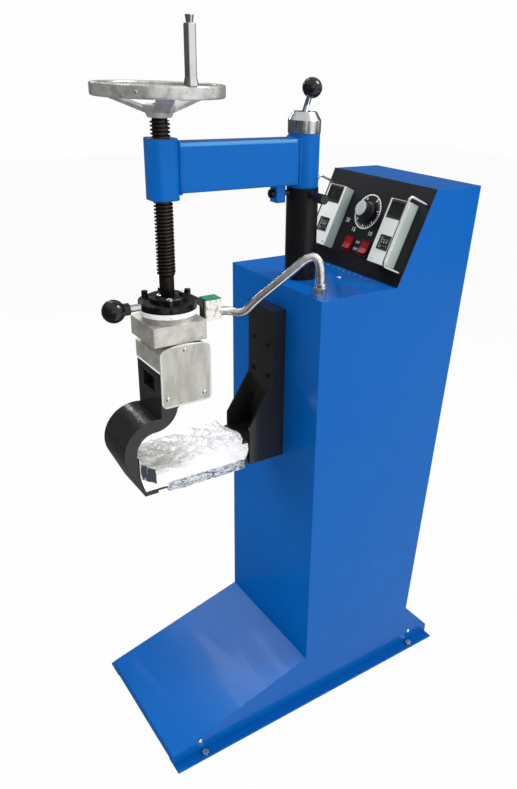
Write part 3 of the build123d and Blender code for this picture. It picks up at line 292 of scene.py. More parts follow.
black_moulding = Finish("black_moulding", (0.012, 0.012, 0.013), 0.34)
black_moulding.set("Roughness", 0.26 + 0.2 * black_moulding.noise(180, 3))
black_moulding.bump(black_moulding.noise(1400, 2), 0.00008, 0.6, edge=0.0006)
lock_place = BACK_FOOT + 0.44 * back_up + door_face * back_out + np.array([0.098, 0, 0])
lock_profile = rounded([(0.011, 0), (0.011, 0.003), (0.0085, 0.0045), (0.0085, 0.009), (0.002, 0.0095)], 0.001)
lock_case = turned("door_lock", lock_profile, lock_place, back_out, black_moulding, "pedestal")
dress(black_moulding, "mains_gland", "timer_body", "clamp_knob")
for number, up in enumerate((0.17, 0.69)):
    pin = BACK_FOOT + up * back_up + (door_face + 0.0012) * back_out + np.array([-0.1165, 0, 0])
    hinge_profile = rounded([(0.003, 0), (0.0045, 0.0006), (0.0045, 0.0394), (0.003, 0.04)], 0.0006)
    hinge = turned(f"door_hinge_{number + 1}", hinge_profile, pin, back_up, zinc, "pedestal", 20)

# ---------------------------------------------------------------- column vents
# The heat of the controls leaves through eight slots in the column's top. Each has a small hood pressed up from the
# sheet over it, open at the back.
VENT_Y, VENT_PITCH, COLUMN_TOP = 0.164, 0.018, 0.932
for number in range(8):
    s = np.linspace(-1, 1, 25)[None]
    t = np.linspace(0, 1, 9)[:, None]
    ends = np.sqrt(np.clip(1 - np.abs(s) ** 4, 0, 1))
    hood = np.stack(
        [
            VENT_PITCH * (number - 2.5) + s * 0.0066 + 0 * t,
            VENT_Y + 0.0022 - 0.0048 * t * ends + 0 * s,
            COLUMN_TOP + 0.00005 + 0.0024 * np.cos(t * math.pi / 2) * ends,
        ],
        axis=-1,
    )
    piece = skin(f"vent_hood_{number + 1}", hood, blue_enamel, "pedestal")

# ---------------------------------------------------------------- post
# A thick round tube stands through the cabinet's top and is sprayed satin black. The channel that stiffens it
# inside the column gets the glossier black enamel of the bracket, the lower arm, the neck and the terminal's angle.
black_enamel = Finish("black_enamel", (0.0085, 0.0085, 0.0095), 0.2)
film_coat = black_enamel.noise(9, 3)
black_enamel.set("Base Color", black_enamel.mix(film_coat, (0.009, 0.009, 0.009), (0.019, 0.0185, 0.0165)))
black_enamel.set("Roughness", 0.08 + 0.14 * film_coat + 0.1 * black_enamel.noise(60, 3).over(0.6, 0.1))
satin_black = Finish("satin_black", (0.0055, 0.0055, 0.0065), 0.28, Specular_IOR_Level=0.25)
satin_black.bump(satin_black.noise(240, 3), 0.0001, 0.4)
black_enamel.bump(black_enamel.noise(70, 3) + 0.3 * black_enamel.noise(300, 2), 0.0004, 0.45, edge=0.0014)
dress(satin_black, "post")
dress(black_enamel, "spine_channel", "arm_bracket", "lower_arm", "gooseneck", "terminal_bracket")

# ---------------------------------------------------------------- bracket and lower arm
# A welded steel bracket bolts to the column and carries the box tube of the lower arm. The helpers below draw
# tubes and weld beads along paths.


def resampled(path, step):
    """Points along the path, a step apart by its own length, and how far along each one is."""
    path = np.asarray(path, float)
    lengths = np.r_[0, np.cumsum(np.linalg.norm(np.diff(path, axis=0), axis=1))]
    at = np.linspace(0, lengths[-1], max(3, int(round(lengths[-1] / step)) + 1))
    return np.stack([np.interp(at, lengths, path[:, i]) for i in range(3)], axis=-1), at


def carried(path):
    """Two unit vectors across the path at each of its points, each turned from the last as little as can be."""
    tangent = np.gradient(path, axis=0)
    tangent /= np.linalg.norm(tangent, axis=1)[:, None]
    side = np.zeros_like(path)
    side[0] = across(tangent[0])[0]
    for i in range(1, len(path)):
        side[i] = side[i - 1] - tangent[i] * (side[i - 1] @ tangent[i])
        side[i] /= np.linalg.norm(side[i])
    return side, np.cross(tangent, side)


def tube(name, path, radius, finish, body, steps=20):
    """A round tube with closed ends along the path. radius is one number, or one per point."""
    side, other = carried(path)
    angle = np.linspace(0, 2 * math.pi, steps, endpoint=False)
    radius = np.broadcast_to(np.asarray(radius, float), (len(path),))
    ring = np.cos(angle)[None, :, None] * side[:, None] + np.sin(angle)[None, :, None] * other[:, None]
    return skin(name, path[:, None] + radius[:, None, None] * ring, finish, body, True, True)


def weld(name, corners, radius, finish, body):
    """A bead along the corners: a tube whose radius swells once for each puddle of the weld."""
    path, along = resampled(corners, radius / 3)
    swell = radius * (0.82 + 0.18 * np.abs(np.cos(along * math.pi / (radius * 1.1))))
    swell = swell * np.clip(np.minimum(along, along[-1] - along) / radius + 0.35, 0.35, 1)
    bead = tube(name, path, swell, finish, body, 10)
    return bead


# ---------------------------------------------------------------- swing arm
# Box tube with a square boss for the screw's nut welded on one end and a round sleeve over the post on the other.
# The beads run right round the tube and are enamelled with it.
BOSS_BACK, SLEEVE_RADIUS, POST_Y = -0.197, 0.029, 0.061
ARM_HALF, ARM_LOW, ARM_HIGH = 0.020, 1.1115, 1.1915
boss_corner = [(-ARM_HALF, BOSS_BACK, ARM_LOW), (-ARM_HALF, BOSS_BACK, ARM_HIGH)]
boss_corner += [(ARM_HALF, BOSS_BACK, ARM_HIGH), (ARM_HALF, BOSS_BACK, ARM_LOW), (-ARM_HALF, BOSS_BACK, ARM_LOW)]
arm_enamel = enamel("arm_enamel", 0.0065)
run_along = arm_enamel.y.between(BOSS_BACK, POST_Y - SLEEVE_RADIUS, 0.002)
highlight_edge = arm_enamel.z.over(ARM_HIGH - 0.0058, 0.0015) * arm_enamel.x.over(ARM_HALF - 0.0058, 0.0015)
# Along the tube's top outer edge the enamel gets a clear coat, and its colour is mixed towards a pale blue: a painted
# highlight.
arm_enamel.set("Coat Weight", run_along * highlight_edge)
arm_enamel.set("Base Color", arm_enamel.mix(run_along * highlight_edge * 0.7, BLUE_THIN, (0.06, 0.30, 0.62)))
dress(arm_enamel, "swing_arm")
weld("boss_weld", boss_corner, 0.0030, arm_enamel, "arm")
bend = np.linspace(-1, 1, 15) * math.asin(ARM_HALF / SLEEVE_RADIUS)
arc = np.c_[SLEEVE_RADIUS * np.sin(bend), POST_Y - SLEEVE_RADIUS * np.cos(bend)]
over = np.c_[arc, np.full(15, ARM_HIGH)]
under = np.c_[arc, np.full(15, ARM_LOW)][::-1]
weld("sleeve_weld", np.r_[under[-1:], over, under], 0.0032, arm_enamel, "arm")

bronze = Finish("bronze", (0.5, 0.33, 0.13), 0.32, 1.0)
bronze.set("Roughness", 0.24 + 0.25 * bronze.noise(200, 3))
bronze.bump(bronze.noise(30, 2, where=bronze.stretched(1, 1, 60)), 0.0001, 0.3, edge=0.0004)
dress(bronze, "screw_nut", "arm_bushings")

# ---------------------------------------------------------------- lock cap and lever
# The chromed cap screws down on the post's top, and its black-balled lever clamps the arm where it stands. The
# stud under the arm has a small black ball knob.
chrome = Finish("chrome", (0.80, 0.81, 0.82), 0.07, 1.0)
haze = chrome.noise(40, 4)
chrome.set("Roughness", 0.05 + 0.12 * haze.over(0.55, 0.15))
chrome.set("Base Color", chrome.mix(chrome.noise(14, 3).over(0.6, 0.12), (0.70, 0.71, 0.72), (0.50, 0.50, 0.50)))
chrome.bump(chrome.noise(90, 2), 0.00008, 0.15, edge=0.0008)
dress(chrome, "lock_cap", "lever_rod", "handle_rod", "wheel_grip", "grip_pin")

black_ball = Finish("black_ball", (0.006, 0.006, 0.0065), 0.1)
black_ball.set("Roughness", 0.07 + 0.12 * black_ball.noise(70, 3).over(0.55, 0.15))
black_ball.bump(black_ball.noise(120, 2), 0.00006, 0.2)
dress(black_ball, "lever_ball", "handle_ball")

# ---------------------------------------------------------------- press screw
# A 32 mm trapezoidal screw of 6 mm pitch, oiled and dark. It is turned down to a plain neck over the head.
SCREW_Y, THREAD_LOW, THREAD_HIGH, PITCH = -0.221, 0.971, 1.229, 0.006
CREST, ROOT, NECK, JOURNAL = 0.0160, 0.0126, 0.0128, 0.0100
oiled_steel = Finish("oiled_steel", (0.05, 0.04, 0.033), 0.32, 0.85)
radius = ((oiled_steel.x) ** 2.0 + (oiled_steel.y - SCREW_Y) ** 2.0) ** 0.5
grime_and_sheen = oiled_steel.noise(90, 4)
# The thread's crests are painted a lighter brown, a painted highlight, more so where the noise is high; below them two
# dark browns vary at random.
oiled_steel.set(
    "Base Color",
    oiled_steel.mix(
        radius.over(0.0152, 0.0008) * (0.55 + 0.45 * grime_and_sheen),
        oiled_steel.mix(grime_and_sheen, (0.012, 0.010, 0.009), (0.035, 0.028, 0.023)),
        (0.085, 0.074, 0.063),
    ),
)
oiled_steel.set("Roughness", 0.24 + 0.3 * grime_and_sheen)
oiled_steel.bump(oiled_steel.noise(600, 3), 0.0001, 0.5)
STEPS = 40
turns = (THREAD_HIGH - THREAD_LOW) / PITCH
theta = (np.arange(int(STEPS * (turns + 1)) + 1) / STEPS - 1)[:, None] * 2 * math.pi
# A helicoid: the flat crest, the flank, the flat root and the other flank climb one pitch with each turn.
share = np.array([0.0, 0.02, 0.34, 0.36, 0.51, 0.53, 0.85, 0.87])[None]
depth = np.array([CREST - 0.0003, CREST, CREST, CREST - 0.0003, ROOT + 0.0002, ROOT, ROOT, ROOT + 0.0002])[None]
height = np.clip(THREAD_LOW + PITCH * (theta / (2 * math.pi) + share), THREAD_LOW, THREAD_HIGH)
reach = np.clip(np.minimum(height - THREAD_LOW, THREAD_HIGH - height) / (0.7 * PITCH), 0, 1)
wide = ROOT + (depth - ROOT) * reach
thread_points = np.stack([wide * np.cos(theta), SCREW_Y + wide * np.sin(theta), height], axis=-1)
rows, columns = height.shape
index = np.arange(rows * columns).reshape(rows, columns)
following = np.concatenate([index[:-STEPS, 1:], index[STEPS:, :1]], axis=1)
quads = np.stack([index[: rows - STEPS - 1], index[1 : rows - STEPS], following[1:], following[:-1]], axis=-1)
quads = quads.reshape(-1, 4)
spread = np.ptp(height.ravel()[quads], axis=1)
quads = quads[spread > 1e-7]
mesh = bpy.data.meshes.new("screw_thread")
mesh.from_pydata(thread_points.reshape(-1, 3).tolist(), [], quads.tolist())
mesh.polygons.foreach_set("use_smooth", [True] * len(mesh.polygons))
mesh.materials.append(oiled_steel.material)
mesh.update()
mesh.set_sharp_from_angle(angle=math.radians(35))
screw_thread = bpy.data.objects.new("screw_thread", mesh)
bpy.context.scene.collection.objects.link(screw_thread)
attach(screw_thread, "spindle")
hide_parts("press_screw")
core = [(JOURNAL, 0.924), (JOURNAL, 0.9372), (NECK - 0.0006, 0.9372), (NECK, 0.938), (NECK, 0.9702)]
core += [(ROOT - 0.0003, 0.9712), (ROOT - 0.0003, THREAD_HIGH), (JOURNAL, THREAD_HIGH), (JOURNAL, 1.2492)]
core += [(JOURNAL - 0.001, 1.2500)]
screw_core = turned("screw_core", core, (0, SCREW_Y, 0), (0, 0, 1), oiled_steel, "spindle", 40)

# ---------------------------------------------------------------- handwheel and grip
# Cast aluminium: the rim and the hub are turned on a lathe and polished, but only the rim gets the polished finish
# here; the hub and the spokes look as cast and fettled. The chromed grip spins on its pin.
polished_cast = Finish("polished_cast", (0.76, 0.75, 0.73), 0.2, 1.0)
radius = (polished_cast.x ** 2.0 + (polished_cast.y - SCREW_Y) ** 2.0) ** 0.5
lathe = polished_cast.noise(1.0, 3, where=polished_cast.vector(radius * 1400.0, polished_cast.z * 1400.0, 0.0))
cast = polished_cast.noise(55, 4, 0.6)
rim = radius.over(0.088, 0.002)
turned_face = polished_cast.mix(cast.over(0.56, 0.12), (0.64, 0.635, 0.62), (0.42, 0.41, 0.39))
fettled = polished_cast.mix(cast.over(0.5, 0.15), (0.40, 0.395, 0.38), (0.26, 0.25, 0.24))
polished_cast.set("Base Color", polished_cast.mix(rim, fettled, turned_face))
polished_cast.set("Roughness", 0.20 + 0.14 * cast + (1 - rim) * 0.22)
polished_cast.set("Metallic", 0.35 + 0.35 * rim)
polished_cast.bump(lathe * rim + (1 - rim) * polished_cast.noise(420, 3) * 2.0, 0.00008, 0.5, edge=0.0012)
dress(polished_cast, "handwheel")
turn = math.radians(-42.6)
rim_side = np.array([math.cos(turn), math.sin(turn), 0.0])
dome_screw("rim_pin", np.array([0, SCREW_Y, 1.2700]) + 0.1049 * rim_side, rim_side, 0.0024, "spindle")

# ---------------------------------------------------------------- head
# The screw pushes on a black-oxide flange through a thrust collar. Three cap screws hold the flange over a ring of
# white insulating board on the heater, and a chromed rod with a black ball turns the head.
black_oxide = Finish("black_oxide", (0.022, 0.022, 0.024), 0.28, 0.8)
radius = (black_oxide.x ** 2.0 + (black_oxide.y - SCREW_Y) ** 2.0) ** 0.5
facing = black_oxide.noise(1.0, 3, where=black_oxide.vector(radius * 900.0, black_oxide.z * 900.0, 0.0))
oil = black_oxide.noise(70, 4)
black_oxide.set("Base Color", black_oxide.mix(oil.over(0.58, 0.1), (0.018, 0.018, 0.020), (0.075, 0.07, 0.066)))
black_oxide.set("Roughness", 0.2 + 0.25 * oil)
black_oxide.bump(facing, 0.0001, 0.4, edge=0.0008)
dress(black_oxide, "head_flange", "retaining_ring", "head_screws", "swing_lock_screw", "thrust_collar", "bracket_bolts")
for number, angle in enumerate((-60, 60, 180)):
    turn = math.radians(angle)
    place = (0.0255 * math.cos(turn), SCREW_Y + 0.0255 * math.sin(turn), 0.9430)
    dome_screw(f"ring_screw_{number + 1}", place, (0, 0, 1), 0.0046, "head")
tall = math.radians(-20)
cap_place = (0.0435 * math.cos(tall), SCREW_Y + 0.0435 * math.sin(tall), 0.9395)
cap_profile = rounded(
    [(0.0050, -0.0002), (0.0056, 0.0006), (0.0056, 0.0030), (0.0030, 0.0034), (0.0026, 0.0010)], 0.0004
)
tall_cap = turned("tall_screw_cap", cap_profile, cap_place, (0, 0, 1), bright_zinc, "head", 24)

board = Finish("insulating_board", (0.80, 0.80, 0.78), 0.85)
board.set("Base Color", board.mix(board.noise(300, 3).over(0.6, 0.1), (0.84, 0.84, 0.82), (0.62, 0.6, 0.56)))
board.bump(board.noise(50, 3, where=board.stretched(1, 1, 40)), 0.0003, 0.6, edge=0.0005)
dress(board, "insulation_ring")

# ---------------------------------------------------------------- heater blocks
# Both heaters are sawn from aluminium plate. Their sides keep the saw's fine lines and a dull skin from the heat,
# and the lower one is crowned on top.
heated = Finish("heated_aluminium", (0.55, 0.54, 0.50), 0.42, 1.0)
stain = heated.noise(34, 5, 0.6)
sawn = heated.noise(60, 3, where=heated.stretched(0.6, 0.6, 26))
speck = heated.noise(700, 2)
skin_tone = heated.mix(stain.over(0.5, 0.2), (0.66, 0.65, 0.61), (0.44, 0.425, 0.38))
gasket = heated.z.between(0.8120, 0.8165, 0.0002)
skin_tone = heated.mix(speck.over(0.66, 0.04), skin_tone, (0.24, 0.225, 0.2))
heated.set("Base Color", heated.mix(gasket, skin_tone, (0.86, 0.86, 0.83)))
heated.set("Metallic", 0.62 * (1 - gasket))
heated.set("Roughness", 0.34 + 0.26 * stain)
heated.bump(sawn * 0.6 + speck * 0.5, 0.00022, 0.7, edge=0.0009)
dress(heated, "upper_heater_block", "lower_heater_body")

# ---------------------------------------------------------------- cover plate
# Rolled aluminium sheet, brushed lightly up and down, closes the lower heater's wiring with three domed screws.
rolled = Finish("rolled_aluminium", (0.62, 0.62, 0.585), 0.36, 1.0)
brushed = rolled.noise(40, 3, where=rolled.stretched(30, 30, 1.2))
cloud = rolled.noise(1.0, 4, 0.65, where=rolled.stretched(60, 60, 16))
from_middle = (rolled.y + 0.215).size().math("MAXIMUM", (rolled.y + 0.215).size(), (rolled.z - 0.8033).size() * 0.848)
# A band round the plate's outline is painted a paler grey than its middle: a painted highlight on the rim.
painted_rim_highlight = from_middle.over(0.0462, 0.0008)
middle_tone = rolled.mix(cloud.over(0.5, 0.14), (0.43, 0.425, 0.375), (0.56, 0.555, 0.50))
rolled.set("Base Color", rolled.mix(painted_rim_highlight, middle_tone, (0.74, 0.735, 0.70)))
rolled.set("Roughness", 0.3 + 0.14 * brushed + 0.08 * cloud)
rolled.set("Metallic", 0.7)
rolled.bump(brushed, 0.00012, 0.5, edge=0.0012)
dress(rolled, "cover_plate")
for number, (y, z) in enumerate(((-0.216, 0.850), (-0.252, 0.763), (-0.180, 0.761))):
    dome_screw(f"cover_screw_{number + 1}", (0.0525, y, z), (1, 0, 0), 0.0042, "pedestal")
drawn = Finish("drawn_steel", (0.70, 0.70, 0.69), 0.18, 1.0)
drawn.set("Roughness", 0.12 + 0.14 * drawn.noise(160, 3))
drawn.bump(drawn.noise(300, 2), 0.00006, 0.3, edge=0.0004)
dress(drawn, "upper_heating_elements", "lower_heating_elements", "panel_handle_left", "panel_handle_right")

# ---------------------------------------------------------------- terminal box
# A small translucent box with a green lid, on a black angle of the flange, joins the heater's leads to the
# conduit's wires.
cream = Finish("terminal_moulding", (0.72, 0.70, 0.62), 0.4)
cream.set("Base Color", cream.mix(cream.noise(120, 3).over(0.58, 0.08), (0.76, 0.75, 0.68), (0.42, 0.38, 0.30)))
cream.bump(cream.noise(500, 2), 0.0001, 0.5, edge=0.0006)
dress(cream, "terminal_box")
green = Finish("green_moulding", (0.015, 0.20, 0.085), 0.35)
green.set("Base Color", green.mix(green.noise(90, 2).over(0.6, 0.1), (0.012, 0.19, 0.08), (0.03, 0.30, 0.15)))
green.bump(green.noise(600, 2), 0.00008, 0.5, edge=0.0006)
dress(green, "terminal_lid")

# ---------------------------------------------------------------- control panel
# A black enamelled plate on the slant carries two temperature controllers, a timer and two rockers. All of it is
# placed on the plate's own axes: u to the operator's right, v up the slant, w out of it.
PANEL_V = np.array([0.0, 0.4119, 0.9113])
PANEL_W = np.array([0.0, -0.9113, 0.4119])
PANEL_FOOT = np.array([0.0, 0.178, 0.932])


def on_panel(u, v, w):
    """Millimetres along the panel's axes, as a point or an array of points in metres."""
    u, v, w = (np.asarray(a, float)[..., None] / 1000 for a in np.broadcast_arrays(u, v, w))
    return PANEL_FOOT + u * np.array([1.0, 0.0, 0.0]) + v * PANEL_V + w * PANEL_W


def slab(name, u, v, w, width, height, corner, rise, finish, body="pedestal", edge=0.4, dish=0.0):
    """A rounded rectangle that stands off the panel: its outline goes straight up and turns in over its edge."""
    arc = np.linspace(0, math.pi / 2, 6)
    quarter = np.concatenate([arc + k * math.pi / 2 for k in range(4)])
    sign_u = np.repeat([1, -1, -1, 1], 6)
    sign_v = np.repeat([1, 1, -1, -1], 6)
    rows = []
    steps = ((0, 0), (0, rise - edge), (edge * 0.3, rise - edge * 0.3), (edge, rise), (edge + 1, rise - dish))
    for inset, lift in steps:
        bend = max(corner - inset, 0.05)
        uu = u + sign_u * (width / 2 - inset - bend) + bend * np.cos(quarter)
        vv = v + sign_v * (height / 2 - inset - bend) + bend * np.sin(quarter)
        rows.append(on_panel(uu, vv, np.full(24, w + lift)))
    return skin(name, np.array(rows), finish, body, True, True)


def words(name, text, size, u, v, w, finish, body="pedestal", centre=None, out=PANEL_W, up=PANEL_V, thick=0.0001):
    """Raised print: the text's outline made a mesh, then laid on the plane at its place."""
    line = bpy.data.curves.new(name, "FONT")
    line.body, line.size, line.extrude = text, size, thick
    line.align_x, line.align_y = "CENTER", "CENTER"
    line.resolution_u = 3
    maker = bpy.data.objects.new(name + "_line", line)
    bpy.context.scene.collection.objects.link(maker)
    bpy.context.view_layer.update()
    mesh = bpy.data.meshes.new_from_object(maker)
    bpy.data.objects.remove(maker)
    right = np.cross(up, out)
    place = on_panel(u, v, w) if centre is None else np.asarray(centre, float)
    flat = np.zeros(len(mesh.vertices) * 3)
    mesh.vertices.foreach_get("co", flat)
    flat = flat.reshape(-1, 3)
    laid = place + flat[:, :1] * right + flat[:, 1:2] * up + flat[:, 2:] * out
    mesh.vertices.foreach_set("co", laid.ravel())
    mesh.materials.clear()
    mesh.materials.append(finish.material)
    mesh.update()
    mesh.name = name
    piece = bpy.data.objects.new(name, mesh)
    bpy.context.scene.collection.objects.link(piece)
    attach(piece, body)
    return piece


panel_black = Finish("panel_black", (0.006, 0.006, 0.009), 0.3, Specular_IOR_Level=0.3)
panel_black.set("Roughness", 0.24 + 0.14 * panel_black.noise(30, 3))
panel_black.bump(panel_black.noise(800, 2), 0.0001, 0.4, edge=0.001)
dress(panel_black, "control_panel")
ink = Finish("white_ink", (0.82, 0.82, 0.80), 0.5)
ink.set("Base Color", ink.mix(ink.noise(900, 2).over(0.62, 0.05), (0.84, 0.84, 0.82), (0.6, 0.6, 0.58)))
for number, (u, v) in enumerate(((-149, 6), (149, 6), (-149, 188), (149, 188))):
    dome_screw(f"panel_screw_{number + 1}", on_panel(u, v, 2.0), PANEL_W, 0.0024, "pedestal", panel_black)

# ---------------------------------------------------------------- temperature controllers
# Each is a moulded case with a pale face, a dark window for the reading, and a black thumbwheel switch of three
# digits. A tall bright guard stands beside each.
case = Finish("controller_case", (0.62, 0.64, 0.60), 0.4)
out = case.y * float(PANEL_W[1]) + case.z * float(PANEL_W[2]) - float(PANEL_FOOT @ PANEL_W)
face_on = out.over(0.0246, 0.0002)
dirt = case.noise(40, 4)
case.set(
    "Base Color",
    case.mix(face_on, case.mix(dirt, (0.33, 0.40, 0.37), (0.42, 0.48, 0.45)), case.mix(dirt, (0.70, 0.74, 0.68), (0.78, 0.82, 0.77))),
)
case.set("Roughness", 0.3 + 0.2 * case.noise(120, 2))
case.bump(case.noise(900, 2), 0.00008, 0.5, edge=0.0008)
dress(case, "temp_controller_left", "temp_controller_right")
window = Finish("display_window", (0.012, 0.010, 0.012), 0.08)
window.set("Roughness", 0.06 + 0.08 * window.noise(60, 2))
FACE_W = 25.0
for side, u in (("left", -94.0), ("right", 100.0)):
    parts = [
        slab(f"window_frame_{side}", u, 136.5, FACE_W, 44, 37, 1.6, 0.9, black_moulding),
        slab(f"window_{side}", u, 137.5, FACE_W + 0.9, 39, 27, 1.0, 0.35, window, dish=0.1),
        slab(f"switch_surround_{side}_top", u, 83.2, FACE_W, 30, 3.4, 0.8, 1.6, black_moulding),
        slab(f"switch_surround_{side}_foot", u, 57.8, FACE_W, 30, 3.4, 0.8, 1.6, black_moulding),
        slab(f"switch_surround_{side}_near", u + 13.1, 70.5, FACE_W, 3.2, 22.2, 0.5, 1.6, black_moulding),
        slab(f"switch_surround_{side}_far", u - 13.1, 70.5, FACE_W, 3.2, 22.2, 0.5, 1.6, black_moulding),
    ]
    for number in range(2):
        spot = on_panel(u - 19 + 38 * number, 36.0, FACE_W)
        dome_screw(f"case_screw_{side}_{number + 1}", spot, PANEL_W, 0.0019, "pedestal")
digit_black = Finish("digit_black", (0.012, 0.012, 0.012), 0.3)
digit_black.set("Roughness", 0.24 + 0.14 * digit_black.noise(300, 2))
digit_black.bump(digit_black.noise(900, 2), 0.00006, 0.4, edge=0.0003)
DIGIT_W, DIGIT_RADIUS, DIGIT_V = 14.0, 12.0, 70.5
for side, u, reading in (("left", -94.0, "150"), ("right", 100.0, "150")):
    for d in range(3):
        wheel = f"digit_{side}_{d + 1}"
        dress(digit_black, wheel)
        for step in range(10):
            # The ten numbers stand round the wheel, each on its own tangent plane, a tenth of a turn apart.
            turn = step * 2 * math.pi / 10
            out = math.cos(turn) * PANEL_W + math.sin(turn) * PANEL_V
            up = math.cos(turn) * PANEL_V - math.sin(turn) * PANEL_W
            centre = on_panel(u + (d - 1) * 6.8, DIGIT_V, DIGIT_W) + out * (DIGIT_RADIUS / 1000 - 0.00005)
            number = str((int(reading[d]) + step) % 10)
            words(f"{wheel}_number_{step}", number, 0.0055, 0, 0, 0, ink, "wheel_" + wheel, centre, out, up)

# ---------------------------------------------------------------- timer
# A mechanical timer is fixed behind the plate. Its black knob has a fluted skirt and a spun silver cap, and turns
# over a white ring of minutes printed on the plate.
TIMER_U, TIMER_V = -2.5, 121.8
t = np.linspace(0, 2 * math.pi, 120, endpoint=False)
ring_in, ring_out = 34.0, 36.2
band = np.stack([on_panel(TIMER_U + r * np.cos(t), TIMER_V + r * np.sin(t), w) for r, w in
                 ((ring_in, 2.0), (ring_in, 2.12), (ring_out, 2.12), (ring_out, 2.0))])
skin("minute_ring", band[:, ::-1], ink, "pedestal", around=True, smooth=False)
for number in range(31):
    turn = math.radians(60 - number * 10)
    reach = 8.0 if number % 5 == 0 else 4.6
    along = np.array([ring_in - reach, ring_in])[:, None]
    half = 0.9 if number % 5 == 0 else 0.45
    flat = np.array([-half, -half, half, half])[None]
    lift = np.array([2.0, 2.12, 2.12, 2.0])[None]
    tick = on_panel(
        TIMER_U + along * math.cos(turn) - flat * math.sin(turn),
        TIMER_V + along * math.sin(turn) + flat * math.cos(turn),
        lift + 0 * along,
    )
    skin(f"minute_tick_{number + 1}", tick, ink, "pedestal", True, True, smooth=False)
for minute, u, v in (("20", -51.0, 95.0), ("15", -23.6, 80.0), ("10", 27.8, 81.0)):
    words(f"minute_{minute}", minute, 0.0125, u, v, 2.0, ink)
knob_cap = Finish("spun_cap", (0.78, 0.78, 0.77), 0.22, 1.0)
du = knob_cap.x - float(TIMER_U) / 1000
dv = (knob_cap.y - float(PANEL_FOOT[1])) * float(PANEL_V[1]) + (knob_cap.z - float(PANEL_FOOT[2])) * float(PANEL_V[2])
dv = dv - TIMER_V / 1000
spun = knob_cap.noise(1.0, 2, where=knob_cap.vector((du ** 2.0 + dv ** 2.0) ** 0.5 * 2600.0, 0.0, 0.0))
knob_cap.set("Roughness", 0.16 + 0.16 * spun)
knob_cap.set("Metallic", 0.35 + 0.4 * spun)
knob_cap.bump(spun, 0.00005, 0.5)
flutes = lambda angle, height: 1 - 0.035 * np.abs(np.sin(angle * 14)) * (height > 0.004) * (height < 0.0195)
knob_profile = rounded(
    [
        (0.0195, 0), (0.020, 0.0006), (0.020, 0.0028), (0.0168, 0.0040),
        (0.0164, 0.0195), (0.0154, 0.0208), (0.004, 0.0208),
    ],
    0.0008,
)
knob_foot = on_panel(TIMER_U, TIMER_V, 2.5)
knob = turned("timer_knob_skirt", knob_profile, knob_foot, PANEL_W, black_moulding, "timer_dial", 168, flutes)
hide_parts("timer_knob")
cap_profile = rounded([(0.0140, 0.0200), (0.0149, 0.0206), (0.0149, 0.0212), (0.0132, 0.0216), (0.002, 0.0213)], 0.0003)
turned("timer_knob_cap", cap_profile, knob_foot, PANEL_W, knob_cap, "timer_dial", 64)
pointer_corners = ((-0.5, 15.9), (-0.5, 19.4), (0.5, 19.4), (0.5, 15.9))
pointer = [on_panel(TIMER_U + a, TIMER_V + b, 2.5 + 3.45) for a, b in pointer_corners]
pointer = np.array([pointer, [p + 0.0002 * PANEL_W for p in pointer]])
skin("timer_pointer", pointer[::-1], ink, "timer_dial", True, True, smooth=False)

# ---------------------------------------------------------------- rockers
# Two glossy red rockers in black frames switch the heaters. A pair of small black plates between them says which
# way is on.
red = Finish("red_moulding", (0.30, 0.005, 0.010), 0.3, Specular_IOR_Level=0.15)
red.set("Base Color", red.mix(red.noise(60, 2), (0.22, 0.003, 0.006), (0.38, 0.007, 0.012)))
red.set("Roughness", 0.28 + 0.1 * red.noise(200, 2))
red.bump(red.noise(500, 2), 0.00005, 0.3, edge=0.0006)
dress(red, "rocker_left", "rocker_right")
dark_red = Finish("dark_red_moulding", (0.10, 0.003, 0.006), 0.35, Specular_IOR_Level=0.2)
dark_red.bump(dark_red.noise(500, 2), 0.00005, 0.3, edge=0.0006)
dress(dark_red, "rocker_frame_left", "rocker_frame_right")
for number, (text, v) in enumerate((("ON", 57.5), ("OFF", 43.5))):
    plate = slab(f"switch_label_{number + 1}", 3.5, v, 2.0, 15.5, 10.5, 0.6, 0.5, black_moulding, edge=0.15)
    printed = words(f"switch_word_{number + 1}", text, 0.0072, 3.5, v, 2.5, ink)

# ---------------------------------------------------------------- protective film
# The maker's clear film is still wound round the lower arm and the foot of the neck, crumpled and loose. Its
# layers look silver, and its ends are torn.
film = Finish("clear_film", (0.80, 0.81, 0.82), 0.16, 0.2)
soft = film.noise(20, 3, 0.5, distortion=1.0)
lines = film.noise(62, 4, 0.6, distortion=2.4)
crease_shade = 1 - (lines - 0.5).size().over(0.016, 0.012)
fine = film.noise(150, 4, 0.62, distortion=1.4)
far_end = film.y.over(-0.118, 0.02)
# The upper part of the film toward the front is painted grey-beige in streaks: painted shade.
shade_zone = (1 - film.y.over(-0.205, 0.05)) * film.z.over(0.618, 0.012)
streaks = film.noise(1.0, 5, 0.6, where=film.stretched(60.0, 22.0, 110.0), distortion=1.2)
shade = film.mix(soft.over(0.5, 0.2), (0.99, 0.99, 0.99), (0.93, 0.935, 0.945))
painted_grey_shade = shade_zone * (0.35 + 0.65 * streaks.over(0.48, 0.10))
shade = film.mix(painted_grey_shade, shade, (0.46, 0.455, 0.42))
# The crease lines are painted dark grey, most at the far end and in the shaded upper front: painted shade in the
# creases.
shade = film.mix(crease_shade * (0.10 + 0.55 * far_end + 0.2 * shade_zone), shade, (0.20, 0.21, 0.22))
